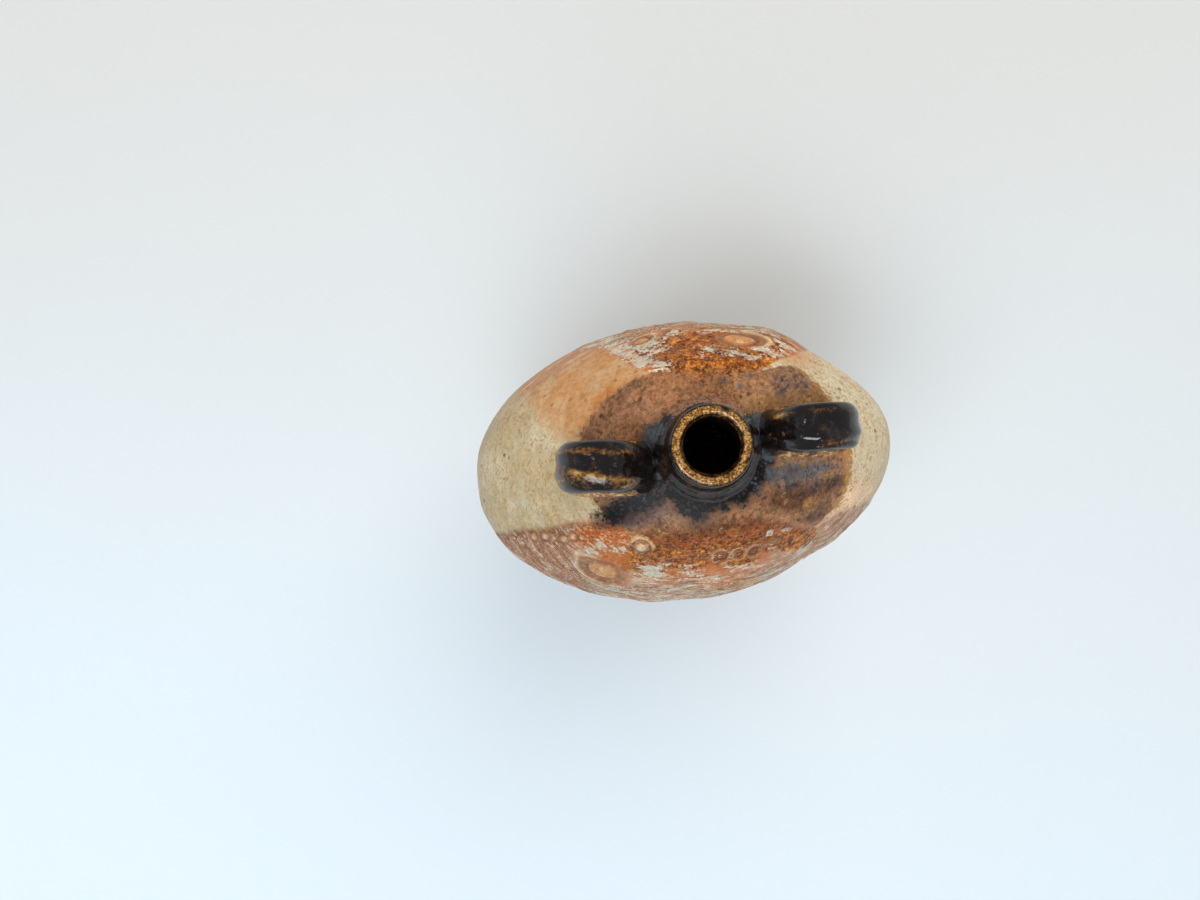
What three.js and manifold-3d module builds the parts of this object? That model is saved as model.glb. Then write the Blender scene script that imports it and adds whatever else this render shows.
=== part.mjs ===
// Amphora vase: a small stoneware bottle, thrown in two sections, paddled to an oval,
// with a slab base, a separately thrown neck and two pulled lugs pressed onto clay pads.
// Millimetres, +Z up. The origin is under the middle of the body, on the surface it stands on.
// +X runs from lug to lug (the long axis of the oval) and +Y points to the back face.
import * as THREE from "three";
import { mergeVertices } from "three/addons/utils/BufferGeometryUtils.js";
import Module from "manifold-3d";

const wasm = await Module();
wasm.setup();

// ---------------------------------------------------------------- driving dimensions
const BELLY_Z = 95; // height of the widest level
const BELLY_A = 85; // half width there, along X
const BELLY_B = 57; // half depth there, along Y
const FOOT_A = 43; // half width of the foot
const FOOT_ASPECT = 0.79; // depth over width at the foot, which the paddle hardly reached
const LOWER_POWER = 2.2; // fullness of the lower wall
const DOME_RISE = 70; // how far the shoulder's dome would rise above the belly
const DOME_POWER = 2.05; // fullness of the shoulder
const OVAL_POWER = 1.9; // plan section: 2 is an ellipse, less is more pointed
const NECK_X = 7.7; // the neck sits off the belly's middle, towards the right
const NECK_Y = 0.5;
const NECK_LEAN = -1.5; // how far the rim leans over from the neck's seat, along X
const DENTS = [
  // hand-paddled flats in the plan: angle and spread (degrees), and how far in as a share of the radius
  [34, 17, 0.046],
  [180, 13, 0.022],
];
const ORIGIN_X = -0.9; // brings the middle of the overall width onto the origin
const SHIFT_TOP_Z = 158; // the sections have moved over to the neck's axis by here
const WALL = 5.5; // thrown wall
const BASE_T = 7; // base slab
const FOOT_CHAMFER = 1.5;
const GAP = 0.3; // slip-filled joint between pieces
const SEAM_LOW = 92.5; // outer edge of the bevelled belly seam
const SEAM_RISE = 5; // the bevel climbs this much towards the inside
const HOLE_R = 12.9; // opening in the shoulder for the neck's spigot
const SPIGOT_R = 12.5;
const SPIGOT_Z = 157.5; // lower end of the spigot
const RIM_Z = 190; // crest of the rim
const BORE_R = 9; // mouth
const FLANGE_Z = 164.6; // underside of the neck's seat
const COIL_R = 17.6; // outer edge of the coil luted round the neck
const PAD_T = 3; // clay pad under each lug
const PAD_GROW = 2.2; // the pad shows this much beside the strap
const STRAP_T = 7.6; // lug strap, through
const SEGS = 48; // sides of the oval body
const NECK_SEGS = 36;

// ---------------------------------------------------------------- outer form of the body
const lerp = (a, b, t) => a + (b - a) * t;
const smooth = (lo, hi, v) => {
  const t = Math.min(1, Math.max(0, (v - lo) / (hi - lo)));
  return t * t * (3 - 2 * t);
};
const BELLY_ASPECT = BELLY_B / BELLY_A;

// Half width at a height.
function outerA(z) {
  if (z <= BELLY_Z)
    return (
      BELLY_A -
      (BELLY_A - FOOT_A) * Math.pow((BELLY_Z - z) / BELLY_Z, LOWER_POWER)
    );
  const u = Math.min(1, (z - BELLY_Z) / DOME_RISE);
  return BELLY_A * Math.pow(1 - Math.pow(u, DOME_POWER), 1 / DOME_POWER);
}
// Height on the shoulder where the half width is a.
const shoulderZ = (a) =>
  BELLY_Z +
  DOME_RISE * Math.pow(1 - Math.pow(a / BELLY_A, DOME_POWER), 1 / DOME_POWER);

// Half depth for a half width: round at the neck, paddled flat at the belly, rounder again at the foot.
function outerB(a, z) {
  if (z <= BELLY_Z)
    return (
      a *
      (BELLY_ASPECT +
        (FOOT_ASPECT - BELLY_ASPECT) * Math.pow((BELLY_Z - z) / BELLY_Z, 1.5))
    );
  return a * lerp(1, BELLY_ASPECT, smooth(10, 62, a));
}
const ovalPower = (a, z) =>
  z <= BELLY_Z
    ? lerp(2, OVAL_POWER, smooth(0, 60, z))
    : lerp(2, OVAL_POWER, smooth(15, 62, a));
const shift = (z) => smooth(BELLY_Z, SHIFT_TOP_Z, z);
// The flats are deepest round the belly and die away at the neck and the foot.
const dented = (a, z) =>
  z <= BELLY_Z ? smooth(10, 70, z) : smooth(34, 66, a);
function dentAt(f) {
  let m = 1;
  for (const [at, spread, depth] of DENTS) {
    const off = Math.abs(((f * 180) / Math.PI - at + 540) % 360) - 180;
    m -= depth * Math.exp(-((off / spread) ** 2));
  }
  return m;
}

// A point of the outer form, and the same point moved in by t along the profile's own normal.
function outer(a, z) {
  return {
    a,
    b: outerB(a, z),
    z,
    p: ovalPower(a, z),
    s: shift(z),
    d: dented(a, z),
  };
}
function profileAt(k) {
  // k runs 0 at the foot, 1 at the belly, 2 at the top of the dome
  if (k <= 1) {
    const z = BELLY_Z * k;
    return [outerA(z), z];
  }
  const u = ((k - 1) * Math.PI) / 2;
  return [
    BELLY_A * Math.pow(Math.cos(u), 2 / DOME_POWER),
    BELLY_Z + DOME_RISE * Math.pow(Math.sin(u), 2 / DOME_POWER),
  ];
}
function inset(a, z, t) {
  const h = 0.4;
  let na, nz, nb, nbz;
  if (z < BELLY_Z + 45) {
    const da = (outerA(z + h) - outerA(z - h)) / (2 * h);
    const n = Math.hypot(1, da);
    na = 1 / n;
    nz = -da / n;
    const db =
      (outerB(outerA(z + h), z + h) - outerB(outerA(z - h), z - h)) / (2 * h);
    nb = 1 / Math.hypot(1, db);
  } else {
    const dz = (shoulderZ(a + h) - shoulderZ(a - h)) / (2 * h); // negative
    const n = Math.hypot(1, dz);
    na = -dz / n;
    nz = 1 / n;
    const b0 = outerB(a - h, z),
      b1 = outerB(a + h, z);
    const dzb = (shoulderZ(a + h) - shoulderZ(a - h)) / (b1 - b0);
    nb = -dzb / Math.hypot(1, dzb);
  }
  return {
    a: a - t * na,
    b: outerB(a, z) - t * nb,
    z: z - t * nz,
    p: ovalPower(a, z),
    s: shift(z),
    d: dented(a, z),
  };
}

// ---------------------------------------------------------------- building helpers
const cp = (v, p) => Math.sign(v) * Math.pow(Math.abs(v), 2 / p);

// A lathe whose rings are ovals: each profile point gives its half width a, half depth b, height z,
// section power p and share s of the shift over to the neck's axis.
function ovalLathe(points, segs) {
  const g = new THREE.LatheGeometry(
    points.map((q) => new THREE.Vector2(q.a, q.z)),
    segs,
  );
  const pos = g.getAttribute("position");
  const n = points.length;
  for (let i = 0; i < pos.count; i++) {
    const q = points[i % n];
    const f = ((Math.floor(i / n) % segs) / segs) * 2 * Math.PI;
    const m = lerp(1, dentAt(f), q.d ?? 0);
    pos.setXYZ(
      i,
      q.a * m * cp(Math.cos(f), q.p) + NECK_X * q.s + (q.dx ?? 0),
      q.b * m * cp(Math.sin(f), q.p) + NECK_Y * q.s,
      q.z,
    );
  }
  return g;
}
const closed = (points) => [...points, points[0]];

function solid(g) {
  g = g.index ? g : g.clone();
  g.deleteAttribute("normal");
  g.deleteAttribute("uv");
  const m = mergeVertices(g, 1e-4);
  let tri = Array.from(m.index.array);
  const keep = [];
  for (let i = 0; i < tri.length; i += 3)
    if (
      tri[i] !== tri[i + 1] &&
      tri[i + 1] !== tri[i + 2] &&
      tri[i] !== tri[i + 2]
    )
      keep.push(tri[i], tri[i + 1], tri[i + 2]);
  const make = (t) =>
    new wasm.Manifold(
      new wasm.Mesh({
        numProp: 3,
        vertProperties: new Float32Array(m.getAttribute("position").array),
        triVerts: new Uint32Array(t),
      }),
    );
  let made = make(keep);
  if (made.volume() < 0) {
    for (let i = 0; i < keep.length; i += 3)
      [keep[i + 1], keep[i + 2]] = [keep[i + 2], keep[i + 1]];
    made = make(keep);
  }
  return made;
}
function geometryOf(s) {
  const m = s.getMesh();
  const v = new Float32Array(m.numVert * 3);
  for (let i = 0; i < m.numVert; i++)
    v.set(m.vertProperties.subarray(i * m.numProp, i * m.numProp + 3), i * 3);
  const g = new THREE.BufferGeometry();
  g.setAttribute("position", new THREE.BufferAttribute(v, 3));
  g.setIndex(new THREE.BufferAttribute(new Uint32Array(m.triVerts), 1));
  g.computeVertexNormals();
  return g;
}
const finish = (color, roughness) =>
  new THREE.MeshStandardMaterial({ color, roughness, metalness: 0 });
const stoneware = finish(0xb9a07c, 0.62);
const flashed = finish(0xb07a52, 0.6);
const bareClay = finish(0x9a6a4a, 0.9);
const slipClay = finish(0x8d6a52, 0.95);
const ironGlaze = finish(0x2a1c12, 0.16);

const vase = new THREE.Group();
vase.name = "amphora_vase";
vase.position.x = ORIGIN_X;
function add(name, s, material, parent = vase) {
  const mesh = new THREE.Mesh(s.isBufferGeometry ? s : geometryOf(s), material);
  mesh.name = name;
  parent.add(mesh);
  return mesh;
}

// ---------------------------------------------------------------- base slab
{
  const pts = [{ a: 0, b: 0, z: 0, p: 2, s: 0 }];
  const foot = outer(outerA(0), 0);
  pts.push({ ...foot, a: foot.a - FOOT_CHAMFER, b: foot.b - FOOT_CHAMFER });
  for (const z of [FOOT_CHAMFER, 4.2, BASE_T]) pts.push(outer(outerA(z), z));
  pts.push({ a: 0, b: 0, z: BASE_T, p: 2, s: 0 });
  add("base_slab", solid(ovalLathe(pts, SEGS)), bareClay);
}

// ---------------------------------------------------------------- lower section of the body
{
  const up = [],
    down = [];
  for (let i = 0; i <= 8; i++) {
    const z = lerp(BASE_T + GAP, SEAM_LOW, i / 8);
    up.push(outer(outerA(z), z));
  }
  for (let i = 0; i <= 8; i++) {
    const z = lerp(SEAM_LOW + SEAM_RISE, BASE_T + 5.2, i / 8);
    down.push(inset(outerA(z), z, WALL));
  }
  // the wall's lower edge is flat on the slab
  const edge = inset(outerA(BASE_T + 3), BASE_T + 3, WALL);
  down.push({ ...edge, z: BASE_T + GAP });
  add(
    "lower_body",
    solid(ovalLathe(closed([...up, ...down]), SEGS)),
    stoneware,
  );
}

// ---------------------------------------------------------------- upper section: the shoulder, with the hole for the neck
const kHole =
  1 +
  (2 / Math.PI) *
    Math.acos(Math.pow(HOLE_R / BELLY_A, DOME_POWER / 2));
{
  const up = [],
    down = [];
  const lift = GAP * 1.45;
  up.push(outer(outerA(SEAM_LOW + lift), SEAM_LOW + lift));
  for (let i = 0; i <= 10; i++) {
    const [a, z] = profileAt(i ? lerp(1.08, kHole, (i - 1) / 9) : 1.02);
    up.push(outer(a, z));
  }
  for (let i = 0; i <= 9; i++) {
    const [a, z] = profileAt(lerp(kHole, 1.09, i / 9));
    const q = inset(a, z, WALL);
    if (i === 0) down.push({ ...q, a: HOLE_R, b: HOLE_R, p: 2, s: 1 });
    else if (q.a > HOLE_R + 0.4) down.push(q);
  }
  const zs = SEAM_LOW + SEAM_RISE + lift;
  down.push(inset(outerA(zs), zs, WALL));
  add(
    "upper_body",
    solid(ovalLathe(closed([...up, ...down]), SEGS)),
    flashed,
  );
}

// ---------------------------------------------------------------- coils smeared over the seams on the inside
{
  const pts = [],
    z0 = SEAM_LOW + SEAM_RISE / 2 - 9,
    z1 = SEAM_LOW + SEAM_RISE / 2 + 9;
  const wallSide = [],
    freeSide = [];
  for (let i = 0; i <= 6; i++) {
    const z = lerp(z0, z1, i / 6);
    const q = inset(outerA(z), z, WALL + 0.45);
    wallSide.push({ ...q, z });
  }
  for (let i = 5; i >= 1; i--) {
    const z = lerp(z0, z1, i / 6);
    const f = (2 * i) / 6 - 1;
    const q = inset(outerA(z), z, WALL + 0.45 + 3 * (1 - f * f));
    freeSide.push({ ...q, z });
  }
  pts.push(...wallSide, ...freeSide);
  add("belly_seam_coil", solid(ovalLathe(closed(pts), SEGS)), slipClay);
}
{
  // a fillet of clay in the corner between the slab and the wall
  const zf = BASE_T + GAP;
  const at = (z, t) => inset(outerA(z), z, WALL + t);
  const a0 = at(zf + 2.7, 1);
  const pts = [
    { ...a0, z: zf },
    { ...at(zf + 8.2, 0.9) },
    { ...at(zf + 11.6, 0.7) },
    { ...at(zf + 10.2, 2.4) },
    { ...at(zf + 8.2, 4.4), z: zf + 2.1 },
    { ...a0, z: zf, a: a0.a - 6.6, b: a0.b - 6.6 },
  ];
  add("base_seam_coil", solid(ovalLathe(closed(pts), SEGS)), slipClay);
}

// ---------------------------------------------------------------- neck, with its rolled rim and the spigot that drops into the shoulder
const neckAt = (r, z) => ({
  a: r,
  b: r,
  z,
  p: 2,
  s: 1,
  dx: (NECK_LEAN * Math.max(0, z - FLANGE_Z)) / (RIM_Z - FLANGE_Z),
});
const NECK_OUT = [
  [14.4, FLANGE_Z],
  [14.2, 166],
  [13.4, 168],
  [12.6, 171],
  [12.1, 175],
  [12.0, 180],
  [12.35, 183.6],
  [13.0, 186],
  [13.4, 187.7],
  [13.1, 189],
  [12.3, 189.75],
  [11.2, RIM_Z],
];
{
  const inside = [
    [10.2, 189.6],
    [9.45, 188.5],
    [BORE_R, 186.2],
    [BORE_R - 0.1, 178],
    [BORE_R, 168],
    [BORE_R + 0.5, SPIGOT_Z],
    [SPIGOT_R - 0.6, SPIGOT_Z],
    [SPIGOT_R, SPIGOT_Z + 0.8],
    [SPIGOT_R, FLANGE_Z],
  ];
  add(
    "neck",
    solid(
      ovalLathe(
        closed([...NECK_OUT, ...inside].map(([r, z]) => neckAt(r, z))),
        NECK_SEGS,
      ),
    ),
    ironGlaze,
  );
}
{
  // the coil luted into the angle between neck and shoulder
  const pts = [
    [14.9, shoulderZ(14.9) + GAP],
    [COIL_R, shoulderZ(COIL_R) + GAP],
    [16.9, 165.2],
    [15.4, 166.6],
    [14.2, 168.8],
    [13.3, 171.6],
    [12.95, 171.6],
    [13.75, 168.1],
    [14.6, 166.1],
    [14.85, 164.9],
  ];
  add(
    "neck_luting_coil",
    solid(ovalLathe(closed(pts.map(([r, z]) => neckAt(r, z))), NECK_SEGS)),
    ironGlaze,
  );
}

// ---------------------------------------------------------------- the shoulder as a plain solid, grown by d, to cut the lugs and pads to
function shoulderGrown(d) {
  const pts = [{ a: 0, b: 0, z: 100, p: 2, s: 1 }];
  for (let i = 0; i <= 16; i++) {
    const [a, z] = profileAt(lerp(1.06, 1.93, i / 16));
    pts.push(i === 0 ? { ...outer(a, z), z: 100 } : inset(a, z, -d));
  }
  pts.push({ a: 0, b: 0, z: BELLY_Z + DOME_RISE + d, p: 2, s: 1 });
  return solid(ovalLathe(pts, SEGS));
}
const grown = (d) => shoulderGrown(d);
const neckClear = (() => {
  const g = new THREE.CylinderGeometry(
    COIL_R + 0.45,
    COIL_R + 0.45,
    60,
    NECK_SEGS,
  );
  g.rotateX(Math.PI / 2);
  g.translate(NECK_X, NECK_Y, 170);
  return solid(g);
})();

function roundedBar(w, t, r, steps) {
  const x = w / 2 - r,
    y = t / 2 - r;
  const pts = [];
  for (const [cx, cy, a0] of [
    [x, y, 0],
    [-x, y, Math.PI / 2],
    [-x, -y, Math.PI],
    [x, -y, 1.5 * Math.PI],
  ])
    for (let i = 0; i <= steps; i++) {
      const a = a0 + ((Math.PI / 2) * i) / steps;
      pts.push(new THREE.Vector2(cx + r * Math.cos(a), cy + r * Math.sin(a)));
    }
  return new THREE.Shape(pts);
}

// ---------------------------------------------------------------- lugs
// side +1 is the right lug, -1 the left. path is the strap's middle line in the lug's own plane,
// measured out from the neck's axis.
const LUGS = [
  {
    name: "left",
    side: -1,
    mid: 35.5, // the lug turns about its own middle
    y: -1.5,
    yaw: -7,
    width: 16.4,
    inner: 18.3,
    outer: 53.4,
    path: [
      [22.2, 150],
      [22.8, 163],
      [26.2, 174],
      [33.4, 180.1],
      [41.6, 179.4],
      [47.4, 173.2],
      [49, 162],
      [48.4, 140],
    ],
  },
  {
    name: "right",
    side: 1,
    mid: 34.8,
    y: 1.5,
    yaw: -4,
    width: 14.8,
    inner: 18.3,
    outer: 51.8,
    path: [
      [22.4, 150],
      [22.8, 163],
      [25.6, 173.6],
      [32, 179.6],
      [40.4, 179],
      [46, 173],
      [47.6, 162],
      [47, 140],
    ],
  },
];
for (const lug of LUGS) {
  const yaw = (lug.yaw * Math.PI) / 180;
  const { mid, width } = lug;
  const place = (g) =>
    g
      .translate(-mid * lug.side, 0, 0)
      .rotateZ(yaw)
      .translate(NECK_X + mid * lug.side, NECK_Y + lug.y, 0);

  const curve = new THREE.CatmullRomCurve3(
    lug.path.map(([x, z]) => new THREE.Vector3(x * lug.side, 0, z)),
    false,
    "centripetal",
  );
  // the section's long side lies across the lug: find which of the sweep's axes that is
  const frames = curve.computeFrenetFrames(26, false);
  const across = Math.abs(frames.normals[0].y) > 0.5;
  const section = across
    ? roundedBar(width, STRAP_T, 3.3, 3)
    : roundedBar(STRAP_T, width, 3.3, 3);
  const strap = solid(
    place(
      new THREE.ExtrudeGeometry(section, {
        steps: 26,
        bevelEnabled: false,
        extrudePath: curve,
      }),
    ),
  );
  add(
    lug.name + "_lug",
    strap.subtract(grown(PAD_T + GAP)).subtract(neckClear),
    ironGlaze,
  );

  const half = (lug.outer - lug.inner) / 2;
  const padW = width + 2 * PAD_GROW;
  const outline = roundedBar(2 * half, padW, padW / 2 - 2.5, 4);
  const block = new THREE.ExtrudeGeometry(outline, {
    depth: 60,
    bevelEnabled: false,
  });
  block.translate((lug.inner + half) * lug.side, 0, 120);
  add(
    lug.name + "_lug_pad",
    solid(place(block))
      .intersect(grown(PAD_T))
      .subtract(grown(GAP))
      .subtract(neckClear),
    ironGlaze,
  );
}

export default vase;
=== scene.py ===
import math

import bpy
import numpy as np
from mathutils import Matrix


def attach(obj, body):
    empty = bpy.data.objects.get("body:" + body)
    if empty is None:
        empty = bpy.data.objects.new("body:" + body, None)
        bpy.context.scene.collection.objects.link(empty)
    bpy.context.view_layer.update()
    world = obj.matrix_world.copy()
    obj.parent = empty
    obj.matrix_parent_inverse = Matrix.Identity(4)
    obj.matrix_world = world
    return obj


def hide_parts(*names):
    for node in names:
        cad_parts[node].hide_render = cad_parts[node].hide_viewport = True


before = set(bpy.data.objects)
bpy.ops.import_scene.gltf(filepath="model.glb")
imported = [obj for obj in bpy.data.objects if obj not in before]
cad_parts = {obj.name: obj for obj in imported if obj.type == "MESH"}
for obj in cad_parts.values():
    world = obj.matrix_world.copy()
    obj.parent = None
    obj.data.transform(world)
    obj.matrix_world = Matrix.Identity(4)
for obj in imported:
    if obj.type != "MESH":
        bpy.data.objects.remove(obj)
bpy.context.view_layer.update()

# ---------------------------------------------------------------- dimensions
# Millimetres; meshes are written in metres.
BELLY_Z = 95.0
BELLY_A = 85.0
BELLY_B = 57.0
FOOT_DROP = 42.0          # belly half length less foot half length
FOOT_ASPECT = 0.79
DOME_RISE = 70.0
DOME_POWER = 2.05
LOWER_POWER = 2.2
OVAL_POWER = 1.9
NECK_X, NECK_Y = 7.7, 0.5
NECK_LEAN = -0.8
ORIGIN_X = -0.9
DENTS = ((34, 17, 0.046), (180, 13, 0.022))
WALL = 5.5
BASE_T = 7.15
SEAM_Z = 92.65
HOLE_A = 12.9
RIM_Z = 190.0
FLANGE_Z = 164.6
AX, AY = NECK_X + ORIGIN_X, NECK_Y     # neck axis in the row frame

NU = 600                  # points round the body
ROWS_LOWER = 132
ROWS_UPPER = 147


# ---------------------------------------------------------------- small maths
def lerp(a, b, t):
    return a + (b - a) * t


def smooth(lo, hi, v):
    t = np.clip((np.asarray(v, float) - lo) / (hi - lo), 0, 1)
    return t * t * (3 - 2 * t)


def bell(v, width):
    return np.exp(-(np.asarray(v, float) / width) ** 2)


def lin(r, g, b):
    """Display colour to linear light."""
    c = np.array([r, g, b], float) / 255
    return np.where(c <= 0.04045, c / 12.92, ((c + 0.055) / 1.055) ** 2.4)


def mixc(col, other, m):
    """Blend an (..., 3) colour field towards a colour by a mask field."""
    m = np.clip(m, 0, 1)[..., None]
    return col * (1 - m) + np.asarray(other) * m


GRADS = np.array([
    [1, 1, 0], [-1, 1, 0], [1, -1, 0], [-1, -1, 0], [1, 0, 1], [-1, 0, 1], [1, 0, -1], [-1, 0, -1],
    [0, 1, 1], [0, -1, 1], [0, 1, -1], [0, -1, -1], [1, 1, 0], [-1, 1, 0], [0, -1, 1], [0, -1, -1]], float)


def hashed(i, j, k, seed):
    h = (i * 374761393 + j * 668265263 + k * 1442695041 + seed * 974126177) & 0xFFFFFFFF
    h = ((h ^ (h >> 13)) * 1274126177) & 0xFFFFFFFF
    h = ((h ^ (h >> 16)) * 1103515245) & 0xFFFFFFFF
    return h ^ (h >> 15)


def noise(x, y, z=0.0, seed=0):
    """Gradient noise, about -1 to 1."""
    x, y, z = np.broadcast_arrays(np.asarray(x, float), np.asarray(y, float), np.asarray(z, float))
    i, j, k = (np.floor(v).astype(np.int64) for v in (x, y, z))
    fx, fy, fz = x - i, y - j, z - k
    u, v, w = (t * t * t * (t * (t * 6 - 15) + 10) for t in (fx, fy, fz))
    out = np.zeros(x.shape)
    for di in (0, 1):
        for dj in (0, 1):
            for dk in (0, 1):
                g = GRADS[hashed(i + di, j + dj, k + dk, seed) & 15]
                d = g[..., 0] * (fx - di) + g[..., 1] * (fy - dj) + g[..., 2] * (fz - dk)
                out += (u if di else 1 - u) * (v if dj else 1 - v) * (w if dk else 1 - w) * d
    return out


def fbm(x, y, z=0.0, octaves=4, seed=0):
    total, amp, norm = 0.0, 1.0, 0.0
    x, y, z = np.asarray(x, float), np.asarray(y, float), np.asarray(z, float)
    for o in range(octaves):
        total = total + amp * noise(x * 2.0 ** o, y * 2.0 ** o, z * 2.0 ** o, seed + 17 * o)
        norm += amp
        amp *= 0.5
    return total / norm


def poly_inside(x, y, pts):
    """Signed distance in the plan to a closed outline, positive inside."""
    pts = np.asarray(pts, float)
    best = np.full(np.shape(x), 1e9)
    inside = np.zeros(np.shape(x), bool)
    for a, b in zip(pts, np.roll(pts, -1, axis=0)):
        e = b - a
        t = np.clip(((x - a[0]) * e[0] + (y - a[1]) * e[1]) / (e @ e), 0, 1)
        best = np.minimum(best, np.hypot(x - a[0] - t * e[0], y - a[1] - t * e[1]))
        with np.errstate(divide="ignore", invalid="ignore"):
            cross = (b[0] - a[0]) * (y - a[1]) / (b[1] - a[1]) + a[0]
        inside ^= ((a[1] > y) != (b[1] > y)) & (x < cross)
    return np.where(inside, best, -best)


def line_dist(x, y, pts):
    """Distance in the plan to an open line of points."""
    best = np.full(np.shape(x), 1e9)
    for a, b in zip(pts[:-1], pts[1:]):
        a, b = np.asarray(a, float), np.asarray(b, float)
        e = b - a
        t = np.clip(((x - a[0]) * e[0] + (y - a[1]) * e[1]) / (e @ e), 0, 1)
        best = np.minimum(best, np.hypot(x - a[0] - t * e[0], y - a[1] - t * e[1]))
    return best


# ---------------------------------------------------------------- body form
ASPECT = BELLY_B / BELLY_A


def half_b(a, z):
    low = a * (ASPECT + (FOOT_ASPECT - ASPECT) * (np.clip(BELLY_Z - z, 0, None) / BELLY_Z) ** 1.5)
    return np.where(z <= BELLY_Z, low, a * lerp(1, ASPECT, smooth(10, 62, a)))


def oval_power(a, z):
    return np.where(z <= BELLY_Z, lerp(2, OVAL_POWER, smooth(0, 60, z)), lerp(2, OVAL_POWER, smooth(15, 62, a)))


def shift(z):
    return smooth(BELLY_Z, 158, z)


def dented(a, z):
    return np.where(z <= BELLY_Z, smooth(10, 70, z), smooth(34, 66, a))


def dent_at(f):
    deg = np.degrees(f)
    m = np.ones_like(deg)
    for at, spread, depth in DENTS:
        off = np.abs((deg - at + 540) % 360 - 180)
        m = m - depth * np.exp(-(off / spread) ** 2)
    return m


def power_of(v, p):
    return np.sign(v) * np.abs(v) ** (2 / p)


def profile(k):
    """Half length and height along the meridian: 0 foot, 1 belly, 2 top of the dome."""
    k = np.asarray(k, float)
    z0 = BELLY_Z * np.clip(k, 0, 1)
    a0 = BELLY_A - FOOT_DROP * ((BELLY_Z - z0) / BELLY_Z) ** LOWER_POWER
    u = np.clip(k - 1, 0, 1) * math.pi / 2
    a1 = BELLY_A * np.cos(u) ** (2 / DOME_POWER)
    z1 = BELLY_Z + DOME_RISE * np.sin(u) ** (2 / DOME_POWER)
    return np.where(k <= 1, a0, a1), np.where(k <= 1, z0, z1)


def oval(f, a, z):
    """Point of the oval of half length a at height z."""
    b, p, s = half_b(a, z), oval_power(a, z), shift(z)
    m = lerp(1, dent_at(f), dented(a, z))
    x = a * m * power_of(np.cos(f), p) + NECK_X * s + ORIGIN_X
    y = b * m * power_of(np.sin(f), p) + NECK_Y * s
    return np.stack(np.broadcast_arrays(x, y, z + 0 * x), axis=-1)


def surface(f, k):
    a, z = profile(k)
    return oval(f, a, z)


def shoulder_k(x, y):
    """Meridian position of the dome over a plan point."""
    x, y = np.asarray(x, float), np.asarray(y, float)
    lo, hi = np.full(x.shape, 1.0), np.full(x.shape, 1.9999)
    for _ in range(48):
        mid = (lo + hi) / 2
        a, z = profile(mid)
        b, p, s = half_b(a, z), oval_power(a, z), shift(z)
        qx, qy = (x - NECK_X * s - ORIGIN_X) / a, (y - NECK_Y * s) / b
        f = np.arctan2(np.sign(qy) * np.abs(qy) ** (p / 2), np.sign(qx) * np.abs(qx) ** (p / 2))
        m = lerp(1, dent_at(f), dented(a, z))
        inside = np.abs(qx / m) ** p + np.abs(qy / m) ** p < 1
        lo, hi = np.where(inside, mid, lo), np.where(inside, hi, mid)
    return (lo + hi) / 2


def shoulder_z(x, y):
    return profile(shoulder_k(x, y))[1]


def spaced_angles(n):
    """Angles evenly spaced along the belly outline, starting at +X."""
    f = np.linspace(0, 2 * math.pi, 14401)
    p = oval(f, np.full_like(f, BELLY_A), np.full_like(f, BELLY_Z))
    s = np.concatenate([[0], np.cumsum(np.linalg.norm(np.diff(p, axis=0), axis=1))])
    half = np.interp(math.pi, f, s)
    first = np.interp(np.arange(n // 2) / (n // 2) * half, s, f)
    second = np.interp(half + np.arange(n // 2) / (n // 2) * (s[-1] - half), s, f)
    return np.concatenate([first, second])


def grid_normals(p, wrap_rows=False):
    """Unit normals of a grid whose columns close round."""
    du = np.roll(p, -1, axis=1) - np.roll(p, 1, axis=1)
    if wrap_rows:
        dv = np.roll(p, -1, axis=0) - np.roll(p, 1, axis=0)
    else:
        dv = np.empty_like(p)
        dv[1:-1] = p[2:] - p[:-2]
        dv[0], dv[-1] = p[1] - p[0], p[-1] - p[-2]
    n = np.cross(du, dv)
    return n / np.maximum(np.linalg.norm(n, axis=-1, keepdims=True), 1e-12)


# ---------------------------------------------------------------- mesh making
def torus_faces(nr, nu):
    """Quads of a grid closed both ways."""
    j, i = np.meshgrid(np.arange(nr), np.arange(nu), indexing="ij")
    jn, ib = (j + 1) % nr, (i + 1) % nu
    return np.stack([j * nu + i, j * nu + ib, jn * nu + ib, jn * nu + i], axis=-1).reshape(-1, 4)


def strip_uv(nr, nu, heights, rects, cuts):
    """Corner UVs for a grid of nr row gaps by nu columns.
    rects lists (first gap, end gap, first column, end column, u0, v0, u1, v1)."""
    uv = np.zeros((nr, nu, 4, 2))
    for j0, j1, i0, i1, u0, v0, u1, v1 in rects:
        h = np.concatenate([[0], np.cumsum(heights[j0:j1])])
        h = h / max(h[-1], 1e-9)
        ii = np.arange(i0, i1)
        ua = u0 + (u1 - u0) * (ii - i0) / (i1 - i0)
        ub = u0 + (u1 - u0) * (ii + 1 - i0) / (i1 - i0)
        va = v0 + (v1 - v0) * h[:-1]
        vb = v0 + (v1 - v0) * h[1:]
        block = uv[j0:j1, i0:i1]
        block[..., 0, 0] = ua[None]
        block[..., 1, 0] = ub[None]
        block[..., 2, 0] = ub[None]
        block[..., 3, 0] = ua[None]
        block[..., 0, 1] = va[:, None]
        block[..., 1, 1] = va[:, None]
        block[..., 2, 1] = vb[:, None]
        block[..., 3, 1] = vb[:, None]
    return uv.reshape(-1, 2)


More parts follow.
